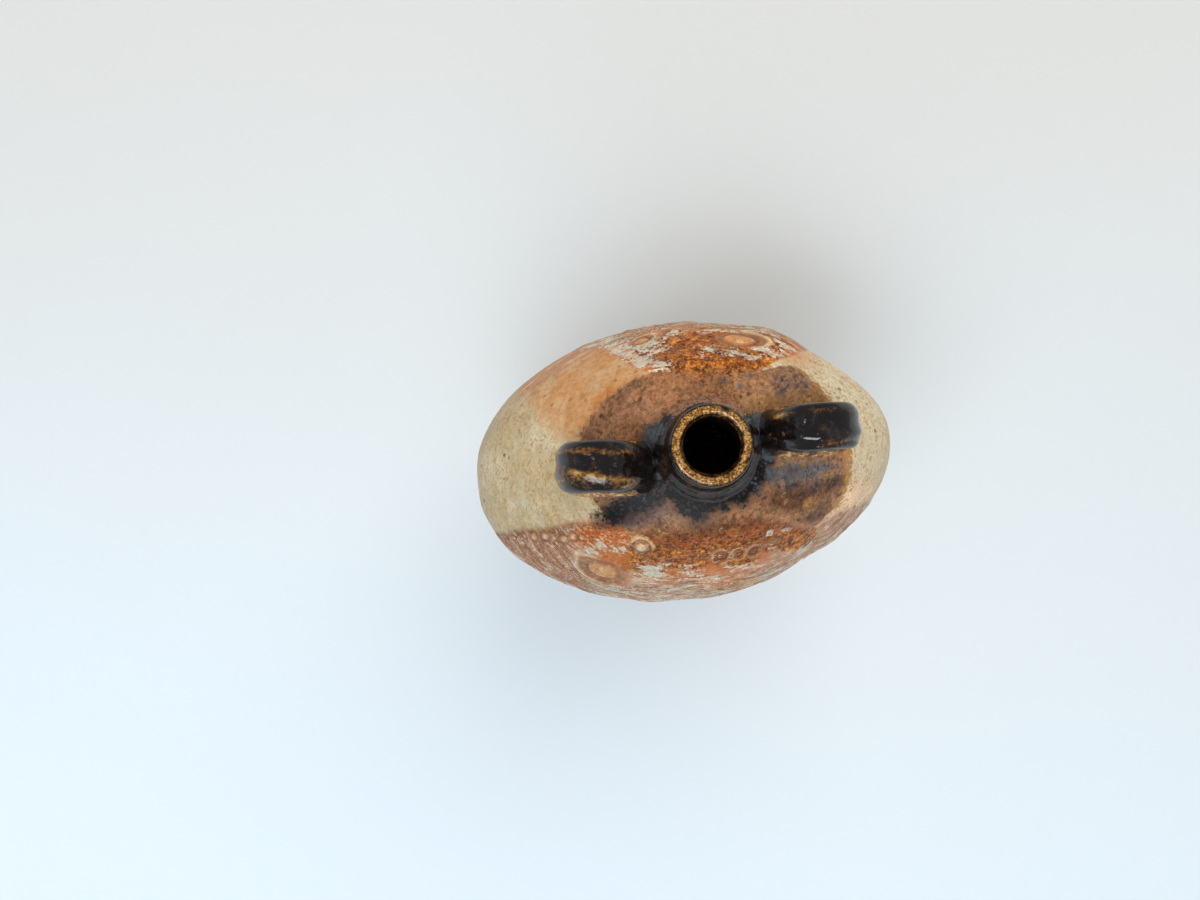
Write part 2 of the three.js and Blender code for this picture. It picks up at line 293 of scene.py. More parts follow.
def make_piece(name, verts, quads, uv, attrs, material, node, normals=None, tris=None, tri_uv=None):
    """One closed mesh in the row frame that stands for a node."""
    verts = np.asarray(verts, float).reshape(-1, 3)
    faces = [quads] if tris is None else [quads, tris]
    corners = np.concatenate([np.asarray(q).reshape(-1) for q in faces]).astype(np.int32)
    sizes = np.concatenate([np.full(len(q), q.shape[1]) for q in faces])
    starts = np.concatenate([[0], np.cumsum(sizes)[:-1]]).astype(np.int32)
    mesh = bpy.data.meshes.new(name)
    mesh.vertices.add(len(verts))
    mesh.vertices.foreach_set("co", (verts / 1000).astype(np.float32).ravel())
    mesh.loops.add(len(corners))
    mesh.loops.foreach_set("vertex_index", corners)
    mesh.polygons.add(len(sizes))
    mesh.polygons.foreach_set("loop_start", starts)
    mesh.polygons.foreach_set("use_smooth", np.ones(len(sizes), bool))
    layer = mesh.uv_layers.new(name="OFBake")
    flat = uv if tri_uv is None else np.concatenate([uv, tri_uv])
    layer.data.foreach_set("uv", flat.astype(np.float32).ravel())
    for key, value in attrs.items():
        value = np.asarray(value, np.float32)
        if value.ndim == 1:
            mesh.attributes.new(key, "FLOAT", "POINT").data.foreach_set("value", value)
        else:
            rgba = np.concatenate([value, np.ones((len(value), 1), np.float32)], axis=1)
            mesh.attributes.new(key, "FLOAT_COLOR", "POINT").data.foreach_set("color", rgba.ravel())
    mesh.update(calc_edges=True)
    mesh.validate()
    if normals is not None:
        mesh.normals_split_custom_set_from_vertices(np.asarray(normals, np.float32).reshape(-1, 3))
    mesh.materials.append(material)
    obj = bpy.data.objects.new(name, mesh)
    bpy.context.scene.collection.objects.link(obj)
    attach(obj, "root")
    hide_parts(node)
    return obj


# ---------------------------------------------------------------- materials
class Tree:
    """Short hand for building a node tree."""

    def __init__(self, name):
        self.mat = bpy.data.materials.new(name)
        self.mat.use_nodes = True
        self.t = self.mat.node_tree
        self.bsdf = self.t.nodes["Principled BSDF"]
        self.obj = self.t.nodes.new("ShaderNodeTexCoord").outputs["Object"]

    def put(self, socket, value):
        if isinstance(value, bpy.types.NodeSocket):
            self.t.links.new(value, socket)
        elif hasattr(socket.default_value, "__len__") and not hasattr(value, "__len__"):
            socket.default_value = (value, value, value)
        elif hasattr(value, "__len__") and len(socket.default_value) == 4 and len(value) == 3:
            socket.default_value = (*value, 1)
        else:
            socket.default_value = value

    def attr(self, name, colour=False):
        n = self.t.nodes.new("ShaderNodeAttribute")
        n.attribute_name = name
        return n.outputs["Color" if colour else "Fac"]

    def math(self, op, a, b=0.0, clamp=False):
        n = self.t.nodes.new("ShaderNodeMath")
        n.operation, n.use_clamp = op, clamp
        self.put(n.inputs[0], a)
        self.put(n.inputs[1], b)
        return n.outputs[0]

    def add(self, *values):
        out = values[0]
        for v in values[1:]:
            out = self.math("ADD", out, v)
        return out

    def mul(self, *values):
        out = values[0]
        for v in values[1:]:
            out = self.math("MULTIPLY", out, v)
        return out

    def step(self, lo, hi, value, to0=0.0, to1=1.0):
        """Smooth step of a field from lo to hi."""
        n = self.t.nodes.new("ShaderNodeMapRange")
        n.interpolation_type = "SMOOTHSTEP"
        self.put(n.inputs["Value"], value)
        for key, v in (("From Min", lo), ("From Max", hi), ("To Min", to0), ("To Max", to1)):
            self.put(n.inputs[key], v)
        return n.outputs["Result"]

    def noise(self, scale, detail=2.0, rough=0.5, vec=None, distort=0.0, kind="FBM"):
        n = self.t.nodes.new("ShaderNodeTexNoise")
        n.noise_type = kind
        self.put(n.inputs["Vector"], vec or self.obj)
        self.put(n.inputs["Scale"], scale)
        self.put(n.inputs["Detail"], detail)
        self.put(n.inputs["Roughness"], rough)
        self.put(n.inputs["Distortion"], distort)
        return n.outputs["Fac"]

    def cells(self, scale, feature="F1", vec=None, random=1.0):
        n = self.t.nodes.new("ShaderNodeTexVoronoi")
        n.feature = feature
        self.put(n.inputs["Vector"], vec or self.obj)
        self.put(n.inputs["Scale"], scale)
        self.put(n.inputs["Randomness"], random)
        return n

    def combine(self, x, y, z):
        n = self.t.nodes.new("ShaderNodeCombineXYZ")
        for s, v in zip(n.inputs, (x, y, z)):
            self.put(s, v)
        return n.outputs[0]

    def stretch(self, sx, sy, sz, vec=None):
        n = self.t.nodes.new("ShaderNodeMapping")
        self.put(n.inputs["Vector"], vec or self.obj)
        n.inputs["Scale"].default_value = (sx, sy, sz)
        return n.outputs[0]

    def mix(self, fac, a, b, blend="MIX"):
        n = self.t.nodes.new("ShaderNodeMix")
        n.data_type, n.blend_type, n.clamp_factor = "RGBA", blend, True
        self.put(n.inputs[0], fac)
        self.put(n.inputs[6], a)
        self.put(n.inputs[7], b)
        return n.outputs[2]

    def blend(self, fac, a, b):
        n = self.t.nodes.new("ShaderNodeMix")
        n.data_type, n.clamp_factor = "FLOAT", True
        self.put(n.inputs[0], fac)
        self.put(n.inputs[2], a)
        self.put(n.inputs[3], b)
        return n.outputs[0]

    def scale_colour(self, colour, value):
        """Colour times a brightness field."""
        n = self.t.nodes.new("ShaderNodeVectorMath")
        n.operation = "SCALE"
        self.put(n.inputs[0], colour)
        self.put(n.inputs["Scale"], value)
        return n.outputs[0]

    def ramp(self, fac, stops, ease="LINEAR"):
        n = self.t.nodes.new("ShaderNodeValToRGB")
        n.color_ramp.interpolation = ease
        e = n.color_ramp.elements
        while len(e) < len(stops):
            e.new(0.5)
        for el, (pos, col) in zip(e, stops):
            el.position, el.color = pos, (*col, 1)
        self.put(n.inputs[0], fac)
        return n.outputs[0]

    def bump(self, height, distance, strength=1.0, normal=None):
        n = self.t.nodes.new("ShaderNodeBump")
        n.inputs["Strength"].default_value = strength
        n.inputs["Distance"].default_value = distance
        self.put(n.inputs["Height"], height)
        if normal is not None:
            self.put(n.inputs["Normal"], normal)
        return n.outputs[0]

    def done(self, colour, rough, normal, ior=1.5, specular=0.5):
        self.put(self.bsdf.inputs["Base Color"], colour)
        self.put(self.bsdf.inputs["Roughness"], rough)
        if normal is not None:
            self.put(self.bsdf.inputs["Normal"], normal)
        self.bsdf.inputs["IOR"].default_value = ior
        self.bsdf.inputs["Specular IOR Level"].default_value = specular
        return self.mat


def body_material(name):
    """Stoneware wall: speckled cream glaze, iron dip on the shoulder, weathered grain on the two faces."""
    t = Tree(name)
    base, dipc = t.attr("col", True), t.attr("dipcol", True)
    dd, blk, white = t.attr("dd"), t.attr("blk"), t.attr("white")
    relief, cream, rust = t.attr("relief"), t.attr("cream"), t.attr("rust")
    haze_and_sheen, lined, soft = t.attr("haze_and_sheen"), t.attr("lined"), t.attr("soft")
    gv = t.combine(t.attr("grain"), t.attr("along"), 0.0)

    def wide(v):
        """A noise spread over the whole range from nought to one."""
        return t.step(0.36, 0.64, v)

    def about(v, amount):
        """A field as a swing about nought."""
        return t.mul(t.add(v, -0.5), amount)

    big = t.noise(100, 4, 0.55)
    mid = t.noise(290, 4, 0.6)
    grit = t.noise(520, 3, 0.55, vec=t.stretch(1, 1, 1.07))
    fine = t.noise(900, 3, 0.6)
    dust = t.noise(2000, 2, 0.55)
    big_w, mid_w, grit_w, fine_w = wide(big), wide(mid), wide(grit), wide(fine)
    bits = t.step(0.15, 0.85, t.cells(1250).outputs["Color"])
    crumbs = t.step(0.15, 0.85, t.cells(640, vec=t.stretch(1, 1, 1.05)).outputs["Color"])
    flecky = t.add(t.mul(crumbs, 0.5), t.mul(fine_w, 0.5))
    glazed = t.add(1.0, t.mul(cream, -1.0))

    # cream glaze: golden drifts and grains, pale grains, a few iron specks
    drift = t.noise(1.0, 4, 0.62, vec=t.stretch(0.30, 0.11, 1, gv))
    golden = t.add(t.mul(wide(drift), 0.18), t.mul(mid_w, 0.14), t.mul(fine_w, 0.32), t.mul(bits, 0.36))
    c = t.mix(t.mul(t.step(0.44, 0.80, golden), cream, 0.78), base, tuple(lin(168, 124, 70)))
    c = t.mix(t.mul(t.step(0.62, 0.92, flecky), cream, 0.34), c, tuple(lin(228, 212, 180)))
    spots = t.cells(190)
    keep = t.math("GREATER_THAN", t.step(0, 1, spots.outputs["Color"]), 0.64)
    speck = t.mul(t.step(0.21, 0.11, t.add(spots.outputs["Distance"], about(fine, 0.30))), keep)
    c = t.mix(t.mul(speck, t.blend(cream, 0.30, 0.78)), c, tuple(lin(104, 64, 38)))
    c = t.mix(t.mul(glazed, t.step(0.55, 0.85, t.add(t.mul(grit_w, 0.55), t.mul(bits, 0.45))), 0.46), c, tuple(lin(150, 90, 50)))
    c = t.mix(t.mul(glazed, t.step(0.66, 0.94, flecky), 0.34), c, tuple(lin(228, 180, 128)))
    c = t.scale_colour(c, t.add(1.0, about(mid_w, 0.16), about(bits, 0.14)))

    # weathered grain: long thin ridges that follow the pressed relief
    lines = t.noise(1.0, 3, 0.58, vec=t.stretch(0.36, 0.026, 1, gv))
    hair = t.noise(1.0, 3, 0.6, vec=t.stretch(0.80, 0.055, 1, gv))
    off = t.math("ABSOLUTE", t.add(lines, -0.5))
    off2 = t.math("ABSOLUTE", t.add(hair, -0.5))
    broken = t.step(0.42, 0.54, t.add(t.mul(mid, 0.6), t.mul(big, 0.4)))
    crest = t.mul(t.step(0.050, 0.012, t.add(off, about(fine, 0.25))), broken)
    groove = t.step(0.055, 0.13, off)
    fuzz = t.step(0.030, 0.006, t.add(off2, about(fine, 0.15)))
    scratch = t.step(0.465, 0.42, hair)
    low = t.step(0.10, -0.50, relief)
    worn = t.step(0.36, 0.60, t.noise(42, 3, 0.55))
    wood = t.mix(t.mul(groove, t.blend(worn, 0.20, 0.45)), c, tuple(lin(138, 84, 54)))
    # painted shade: the grain is darkened where the pressed relief sinks low
    wood = t.mix(t.mul(low, 0.42), wood, tuple(lin(112, 66, 42)))
    wood = t.mix(t.mul(scratch, 0.45), wood, tuple(lin(130, 82, 56)))
    wood = t.mix(t.mul(fuzz, 0.55), wood, tuple(lin(228, 198, 170)))
    wood = t.mix(t.mul(crest, t.blend(worn, 0.30, 0.70)), wood, tuple(lin(234, 210, 184)))
    wood = t.scale_colour(wood, t.add(1.0, about(grit_w, 0.30), about(bits, 0.24)))
    c = t.mix(lined, c, wood)

    # iron-red blush with granular breaks
    redness = t.step(0.34, 0.66, t.add(t.mul(rust, 0.95), about(mid, 2.6), about(big, 2.0), about(fine, 1.0)))
    redness = t.mul(redness, t.step(0.04, 0.22, rust))
    red = t.ramp(t.add(t.mul(grit, 0.40), t.mul(mid, 0.40), t.mul(fine, 0.20), about(bits, 0.06)),
                 [(0.38, lin(42, 19, 6)), (0.45, lin(98, 45, 9)), (0.51, lin(151, 77, 14)), (0.56, lin(198, 113, 30)), (0.63, lin(229, 167, 82))])
    red = t.mix(t.step(0.40, 0.56, big), t.scale_colour(red, 0.62), red)
    specks = t.step(0.58, 0.88, t.add(t.mul(fine_w, 0.5), t.mul(bits, 0.5)))
    red = t.mix(t.mul(specks, 0.34), red, tuple(lin(224, 160, 76)))
    # painted light: the iron-red is scaled by the lift field, the same front-to-back brightness gradient as the base
    # colours
    red = t.scale_colour(red, t.attr("lift"))
    c = t.mix(t.mul(specks, t.attr("ember"), 0.55), c, tuple(lin(224, 176, 116)))
    c = t.mix(t.mul(t.step(0.40, 0.16, t.add(t.mul(grit_w, 0.5), t.mul(bits, 0.5))), t.attr("ember"), 0.50), c, tuple(lin(122, 62, 26)))
    c = t.mix(t.mul(redness, 0.93), c, red)

    # white glaze lying in feathered patches, crazed, its edge eaten into by the ground
    shard = t.noise(1.0, 4, 0.66, vec=t.stretch(0.22, 0.10, 1, gv))
    sliver = t.noise(1.0, 3, 0.62, vec=t.stretch(0.62, 0.20, 1, gv))
    brushed = t.mul(lined, t.add(t.mul(crest, 0.30), t.mul(groove, -0.35)))
    wfield = t.add(white, about(shard, 3.0), about(sliver, 2.4), about(fine, 2.6), about(bits, 0.40), brushed)
    wmask = t.mul(t.step(0.40, 0.68, wfield), t.step(0.06, 0.26, white))
    craze = t.cells(1.0, "DISTANCE_TO_EDGE", vec=t.stretch(0.36, 0.24, 1, gv))
    cracks = t.step(0.10, 0.02, t.add(craze.outputs["Distance"], about(fine, 0.40)))
    pale = t.ramp(t.add(t.mul(big, 0.6), t.mul(mid, 0.4)),
                  [(0.38, lin(188, 200, 180)), (0.46, lin(216, 214, 192)), (0.55, lin(230, 218, 196)), (0.64, lin(216, 184, 146))])
    pale = t.mix(t.mul(t.step(0.60, 0.90, t.add(t.mul(grit_w, 0.6), t.mul(bits, 0.4))), 0.46), pale, tuple(lin(180, 124, 80)))
    pale = t.mix(t.mul(cracks, 0.34), pale, tuple(lin(166, 112, 74)))
    # painted shade: the white glaze darkens where the pressed relief sinks low
    pale = t.mix(t.mul(t.step(-0.10, -0.55, relief), 0.42), pale, tuple(lin(156, 102, 66)))
    # painted light: the white glaze is scaled by the lift field too
    c = t.mix(t.mul(wmask, 0.90), c, t.scale_colour(pale, t.attr("lift")))

    # iron dip over the shoulder: brown, freckled, granular
    edge = t.add(dd, about(mid, t.blend(soft, 5.0, 26.0)), about(grit, t.blend(soft, 5.0, 16.0)), about(bits, t.blend(soft, 1.0, 3.0)))
    inside = t.step(t.blend(soft, -0.9, -3.2), t.blend(soft, 1.0, 3.2), edge)
    tone = t.add(1.0, about(big_w, 0.26), about(mid_w, 0.30), about(bits, 0.44), about(crumbs, 0.26))
    d = t.scale_colour(dipc, tone)
    d = t.mix(t.mul(t.step(0.50, 0.60, t.noise(70, 3, 0.55)), 0.28), d, t.scale_colour(tuple(lin(166, 106, 68)), tone))
    freckle = t.step(0.525, 0.575, t.add(t.mul(grit, 0.5), t.mul(mid, 0.3), t.mul(fine, 0.20)))
    d = t.mix(t.mul(freckle, 0.72), d, t.scale_colour(dipc, 0.34))
    d = t.mix(t.mul(t.step(0.74, 0.95, flecky), 0.45), d, t.scale_colour(dipc, 1.7))
    flakes = t.step(0.34, 0.66, t.add(t.attr("gold"), about(big, 2.2), about(mid, 2.0), about(grit, 0.9), about(bits, 0.3)))
    d = t.mix(t.mul(flakes, 0.75), d, t.ramp(t.add(t.mul(grit, 0.5), t.mul(fine, 0.5)), [(0.40, lin(116, 76, 36)), (0.52, lin(158, 114, 60)), (0.62, lin(194, 152, 98))]))
    pepper = t.cells(330)
    some = t.step(0.35, 0.75, pepper.outputs["Color"])
    dots = t.step(t.mul(some, 0.36), t.mul(some, 0.18), t.add(pepper.outputs["Distance"], about(fine, 0.55)))
    peppery = t.mul(dots, t.step(0.41, 0.53, mid))
    d = t.mix(t.mul(peppery, 0.70), d, tuple(lin(54, 36, 31)))
    rim = t.mul(t.step(-1.6, 0.2, edge), t.step(2.4, 0.4, edge))
    c = t.mix(inside, c, d)
    c = t.mix(t.mul(rim, t.attr("goldrim"), 0.85), c, tuple(lin(176, 130, 64)))

    # pooled black glaze round the neck, blue-grey where it thickens, the blue-grey partly painted sheen
    bf = t.add(blk, 1.2, about(mid, 7.0), about(big, 8.0), about(crumbs, 1.2), about(bits, 1.8))
    pool = t.step(-3.4, 1.4, bf)
    inky = t.ramp(t.add(t.mul(mid, 0.4), t.mul(fine, 0.6)),
                  [(0.40, lin(9, 9, 11)), (0.52, lin(16, 15, 17)), (0.60, lin(34, 33, 37)), (0.70, lin(70, 67, 70))])
    inky = t.mix(t.mul(t.step(0.90, 1.0, bits), 0.40), inky, tuple(lin(84, 72, 66)))
    c = t.mix(pool, c, inky)
    # partly painted reflection: the blue-grey over the thick black glaze stands in part for sheen reflecting the sky
    foggy_sheen = t.mul(t.step(0.30, 0.72, t.add(haze_and_sheen, about(mid, 1.4), about(fine, 1.0), about(bits, 0.22))), t.step(-3.5, 0.5, dd))
    c = t.mix(t.mul(foggy_sheen, 0.90), c, t.ramp(t.add(t.mul(fine, 0.5), t.mul(mid, 0.5)), [(0.38, lin(56, 60, 64)), (0.50, lin(74, 80, 84)), (0.62, lin(92, 98, 102))]))

    # finish
    rough = t.blend(cream, 0.52, 0.56)
    rough = t.blend(inside, rough, 0.40)
    rough = t.blend(redness, rough, 0.36)
    rough = t.blend(wmask, rough, 0.32)
    rough = t.blend(t.math("MAXIMUM", pool, t.mul(foggy_sheen, 0.8)), rough, 0.42)
    rough = t.math("ADD", rough, about(fine, 0.16), clamp=True)

    ripple = t.add(t.mul(mid, 0.35), t.mul(grit, 0.32), t.mul(fine, 0.24), t.mul(dust, 0.10))
    wooden = t.mul(lined, t.add(t.mul(t.step(0.16, 0.0, off), 1.0), t.mul(t.step(0.10, 0.0, off2), 0.45)), t.blend(wmask, 1.0, 0.55))
    height = t.add(ripple, wooden, t.mul(cracks, wmask, -0.20), t.mul(freckle, inside, -0.15), t.mul(redness, grit, 0.70), t.mul(wmask, 0.30))
    n = t.bump(t.mul(height, t.blend(t.math("MAXIMUM", pool, foggy_sheen), 1.0, 0.35)), 0.00055, 0.85)
    return t.done(c, rough, n, specular=0.15)


def glaze_material(name, specular=0.5):
    """Thick black iron glaze that breaks to gold where it runs thin."""
    t = Tree(name)
    thin, tan, haze_and_sheen, amber = t.attr("thin"), t.attr("tan"), t.attr("haze_and_sheen"), t.attr("amber")
    big = t.noise(120, 3, 0.5)
    mid = t.noise(380, 4, 0.62)
    grit = t.noise(760, 3, 0.6)
    fine = t.noise(1700, 3, 0.65)
    f = t.add(thin, t.mul(t.add(fine, -0.5), 0.60), t.mul(t.add(grit, -0.5), 0.80), t.mul(t.add(mid, -0.5), 0.55), t.mul(t.add(big, -0.5), 0.30))
    c = t.ramp(f, [(0.20, lin(19, 15, 15)), (0.36, lin(38, 28, 23)), (0.46, lin(78, 46, 18)),
                   (0.60, lin(110, 75, 32)), (0.76, lin(150, 111, 55)), (0.95, lin(188, 152, 92))])
    # brownish-grey patches on the black glaze: partly the glaze's own colour, partly a painted reflection of the
    # ceiling
    brown = t.step(0.50, 0.62, t.add(t.mul(big, 0.6), t.mul(mid, 0.4)))
    c = t.mix(t.mul(brown, t.step(0.42, 0.2, thin), 0.55), c, tuple(lin(58, 47, 41)))
    glow = t.ramp(t.add(t.mul(grit, 0.26), t.mul(mid, 0.14), t.mul(fine, 0.60)),
                  [(0.40, lin(62, 34, 10)), (0.47, lin(116, 72, 26)), (0.52, lin(158, 108, 46)), (0.60, lin(214, 172, 104))])
    glow = t.scale_colour(glow, t.step(0.35, 1.0, amber, 0.30, 1.08))
    c = t.mix(t.step(0.35, 0.65, t.add(amber, t.mul(t.add(mid, -0.5), 0.7))), c, glow)
    satin = t.attr("satin")
    c = t.mix(t.mul(satin, 0.75), c, t.ramp(t.add(t.mul(big, 0.4), t.mul(mid, 0.3), t.mul(fine, 0.3)),
              [(0.40, lin(18, 13, 11)), (0.50, lin(42, 31, 25)), (0.60, lin(72, 54, 43))]))
    earth = t.attr("earth")
    creep = t.step(0.25, 0.75, t.add(earth, t.mul(t.add(mid, -0.5), 1.6), t.mul(t.add(fine, -0.5), 1.0)))
    c = t.mix(creep, c, t.ramp(t.add(t.mul(grit, 0.5), t.mul(fine, 0.5)), [(0.42, lin(96, 66, 46)), (0.50, lin(146, 104, 74)), (0.58, lin(178, 130, 94))]))
    # partly painted reflection: the blue-grey over the thick glaze stands in part for sheen reflecting the sky
    foggy_sheen = t.step(0.34, 0.66, t.add(haze_and_sheen, t.mul(t.add(mid, -0.5), 0.6)))
    c = t.mix(t.mul(foggy_sheen, 0.85), c, t.ramp(t.add(t.mul(fine, 0.5), t.mul(grit, 0.5)), [(0.38, lin(54, 57, 61)), (0.5, lin(78, 84, 88)), (0.62, lin(100, 106, 110))]))
    c = t.mix(tan, c, t.ramp(t.add(t.mul(grit, 0.5), t.mul(mid, 0.5)),
              [(0.36, lin(66, 42, 26)), (0.46, lin(138, 94, 50)), (0.55, lin(190, 146, 88)), (0.66, lin(222, 194, 148))]))
    rough = t.blend(t.step(0.30, 0.75, f), 0.07, 0.14)
    rough = t.blend(satin, rough, 0.11)
    rough = t.blend(amber, rough, 0.05)
    rough = t.blend(creep, rough, 0.40)
    rough = t.blend(tan, rough, 0.42)
    height = t.add(t.mul(mid, 0.28), t.mul(grit, t.step(0.3, 0.7, f), 0.42), t.mul(big, 0.4), t.mul(tan, grit, 0.8))
    n = t.bump(t.mul(height, t.blend(amber, 1.0, 0.14)), 0.0004, 0.36)
    return t.done(c, rough, n, specular=specular)


def clay_material(name, warm):
    """Bare stoneware with grog, iron spots and toasted patches."""
    t = Tree(name)
    mid, fine, big = t.noise(260, 5, 0.62), t.noise(1500, 3, 0.6), t.noise(48, 3, 0.55)
    c = t.ramp(t.add(t.mul(big, 0.6), t.mul(mid, 0.4)),
               [(0.34, lin(126, 88, 60)), (0.48, lin(164, 124, 88)), (0.62, lin(190 + warm, 158, 122))])
    grog = t.cells(420)
    pale = t.mul(t.step(0.30, 0.18, grog.outputs["Distance"]), t.step(0.55, 0.8, grog.outputs["Color"]))
    c = t.mix(t.mul(pale, 0.6), c, tuple(lin(218, 200, 168)))
    iron = t.cells(300)
    spots = t.mul(t.step(0.22, 0.10, iron.outputs["Distance"]), t.step(0.6, 0.8, iron.outputs["Color"]))
    c = t.mix(t.mul(spots, 0.8), c, tuple(lin(70, 42, 28)))
    c = t.scale_colour(c, t.add(0.8, t.mul(fine, 0.4)))
    rough = t.math("ADD", 0.72, t.mul(t.add(mid, -0.5), 0.25), clamp=True)
    n = t.bump(t.add(t.mul(mid, 0.8), t.mul(fine, 0.5), t.mul(pale, 0.6)), 0.0004, 0.8)
    return t.done(c, rough, n)


# ---------------------------------------------------------------- body: rows and plain form
def arc_rows(k0, k1, n):
    """Meridian positions evenly spaced along the wall."""
    k = np.linspace(k0, k1, 4001)
    length = np.zeros(4000)
    for f in (0.0, math.pi / 2, math.pi, 1.5 * math.pi):
        length += np.linalg.norm(np.diff(surface(np.full_like(k, f), k), axis=0), axis=1)
    s = np.concatenate([[0], np.cumsum(length)])
    return np.interp(np.linspace(0, s[-1], n), s, k)


PHI = spaced_angles(NU)
DEG = np.degrees(PHI)
HOLE_K = 1 + math.acos((HOLE_A / BELLY_A) ** (DOME_POWER / 2)) / (math.pi / 2)
FOOT = ((0.0, 2.0), (0.12, 1.1), (0.45, 0.5), (1.0, 0.15))
k_foot = np.array([z / BELLY_Z for z, _ in FOOT])
k_base = np.linspace(1.9, BASE_T, 8) / BELLY_Z
k_low = arc_rows(BASE_T / BELLY_Z, SEAM_Z / BELLY_Z, ROWS_LOWER)
k_up = arc_rows(SEAM_Z / BELLY_Z, HOLE_K, ROWS_UPPER)
KK = np.concatenate([k_foot, k_base, k_low[1:], k_up[1:]])
J_BASE = len(k_foot) + len(k_base) - 1           # row shared by foot slab and wall
J_SEAM = J_BASE + len(k_low) - 1                 # row shared by the two bowls
F2, K2 = np.broadcast_arrays(PHI[None, :], KK[:, None])
D2 = np.degrees(F2)
P0 = surface(F2, K2)
N0 = grid_normals(P0)
flat = N0[..., :2] / np.linalg.norm(N0[..., :2], axis=-1, keepdims=True)
for j, (_, inset) in enumerate(FOOT):
    P0[j, :, :2] -= flat[j] * inset
X, Y, Z = P0[..., 0], P0[..., 1], P0[..., 2]

# distance up the wall from the belly, and along each ring from the middle of its face
rise = np.linalg.norm(np.diff(P0, axis=0), axis=-1)
V = np.concatenate([np.zeros((1, NU)), np.cumsum(rise, axis=0)])
V = V - V[np.argmin(np.abs(KK - 1))][None]
ring = np.linalg.norm(np.roll(P0, -1, axis=1) - P0, axis=-1)
S = np.concatenate([np.zeros((len(KK), 1)), np.cumsum(ring, axis=1)[:, :-1]], axis=1)
i_back, i_front = np.argmin(np.abs(DEG - 90)), np.argmin(np.abs(DEG - 270))
U = np.where(D2 < 180, S - S[:, [i_back]], S - S[:, [i_front]])


# ---------------------------------------------------------------- body: zones
def around(points):
    """Periodic smooth curve through (degrees, value) points, on the grid's columns."""
    points = sorted(points)
    d = np.array([p[0] for p in points], float)
    v = np.array([p[1] for p in points], float)
    d = np.concatenate([d - 360, d, d + 360])
    v = np.concatenate([v, v, v])
    fine = np.interp(np.arange(-360, 720, 1.0), d, v)
    kernel = np.exp(-(np.arange(-6, 7) / 2.2) ** 2)
    fine = np.convolve(fine, kernel / kernel.sum(), mode="same")
    return np.interp(DEG, np.arange(-360, 720, 1.0), fine)[None, :]


# lower edge of the iron dip, which hangs lower on the right and front right
DIP = around([(0, 1.60), (20, 1.605), (40, 1.578), (46, 1.566), (50, 1.66), (53, 1.722), (70, 1.765), (87.5, 1.797),
              (103, 1.74), (117.3, 1.677), (130, 1.655), (156.5, 1.645), (180, 1.648), (204.8, 1.653), (214.8, 1.631),
              (228, 1.652), (241, 1.640), (255.5, 1.685), (272, 1.70), (291, 1.682), (300, 1.60), (306.8, 1.485),
              (319.8, 1.496), (332, 1.541), (345, 1.585)])
dd = (K2 - DIP) * 92

# the two pressed faces: signed distance inside, millimetres
edge_x = np.array([-90, -30, -20, -10, 0, 20, 30, 44.5, 62.4, 71.3, 90])
edge_y = np.array([-19.2, -19.2, -23, -26, -28, -28.5, -29, -29.8, -27.1, -25.3, -22])
wander = fbm(X / 14, Y / 14, Z / 14, 3, 41)
front = np.interp(X, edge_x, edge_y) - Y + 1.1 * wander + smooth(1.45, 1.1, K2) * 7 * fbm(V / 30, np.sign(X) * 3.0, 0.5, 3, 45)
back_right = 48 + 25 * np.clip(K2 - 1.42, -0.3, 0.2)
stray = smooth(1.50, 1.15, K2)
left_edge = 114 + stray * (9 * fbm(V / 34, 0.3, 2.0, 3, 43) + 7 * smooth(1.1, 0.3, K2))
right_edge = back_right - stray * (8 * fbm(V / 30, 5.3, 2.0, 3, 44) + 4 * smooth(1.0, 0.3, K2))
back = np.minimum(D2 - right_edge, left_edge - D2) * 1.25 + 1.6 * wander
panel = np.maximum(front, back)
foot_fade = smooth(0.10, 0.26, K2 + 0.05 * fbm(U / 20, V / 20, 3.3, 2, 8))
tex = smooth(-0.8, 1.8, panel) * foot_fade
tex = tex * (1 - 0.85 * smooth(-3, 2.5, dd)) * smooth(1.86, 1.78, K2)

# knots in the pressed grain: (degrees, meridian, radius, kind)
KNOTS = [(234.5, 1.368, 7.1, "button"), (238, 1.581, 3.7, "ring"), (264.2, 1.554, 2.0, "loop"), (271.5, 1.554, 2.5, "loop"),
         (278, 1.548, 2.2, "loop"), (284, 1.530, 2.1, "loop"), (102.5, 1.386, 3.4, "button"), (69.8, 1.475, 6.6, "button"),
         (288, 0.84, 7.4, "button"), (256, 0.54, 5.2, "button"), (79, 0.92, 6.2, "button"), (104, 0.60, 5.6, "button"),
         (304, 1.16, 2.3, "ring"), (246, 0.98, 3.1, "ring"), (94, 1.14, 2.2, "ring"), (62, 0.62, 2.4, "ring")]
rng = np.random.default_rng(7)
for _ in range(90):
    side = rng.random() < 0.55
    KNOTS.append((rng.uniform(214, 318) if side else rng.uniform(56, 109), rng.uniform(0.30, 1.57), rng.uniform(0.7, 1.5), "pit"))
for d, k, r in ((204.3, 1.262, 1.0), (206.6, 1.302, 0.9), (208.5, 1.341, 1.25), (210.2, 1.389, 1.3), (212.4, 1.415, 0.9), (214.8, 1.442, 1.25),
                (216.0, 1.477, 1.2), (218.2, 1.498, 0.9)):
    KNOTS.append((d, k, r, "nub"))

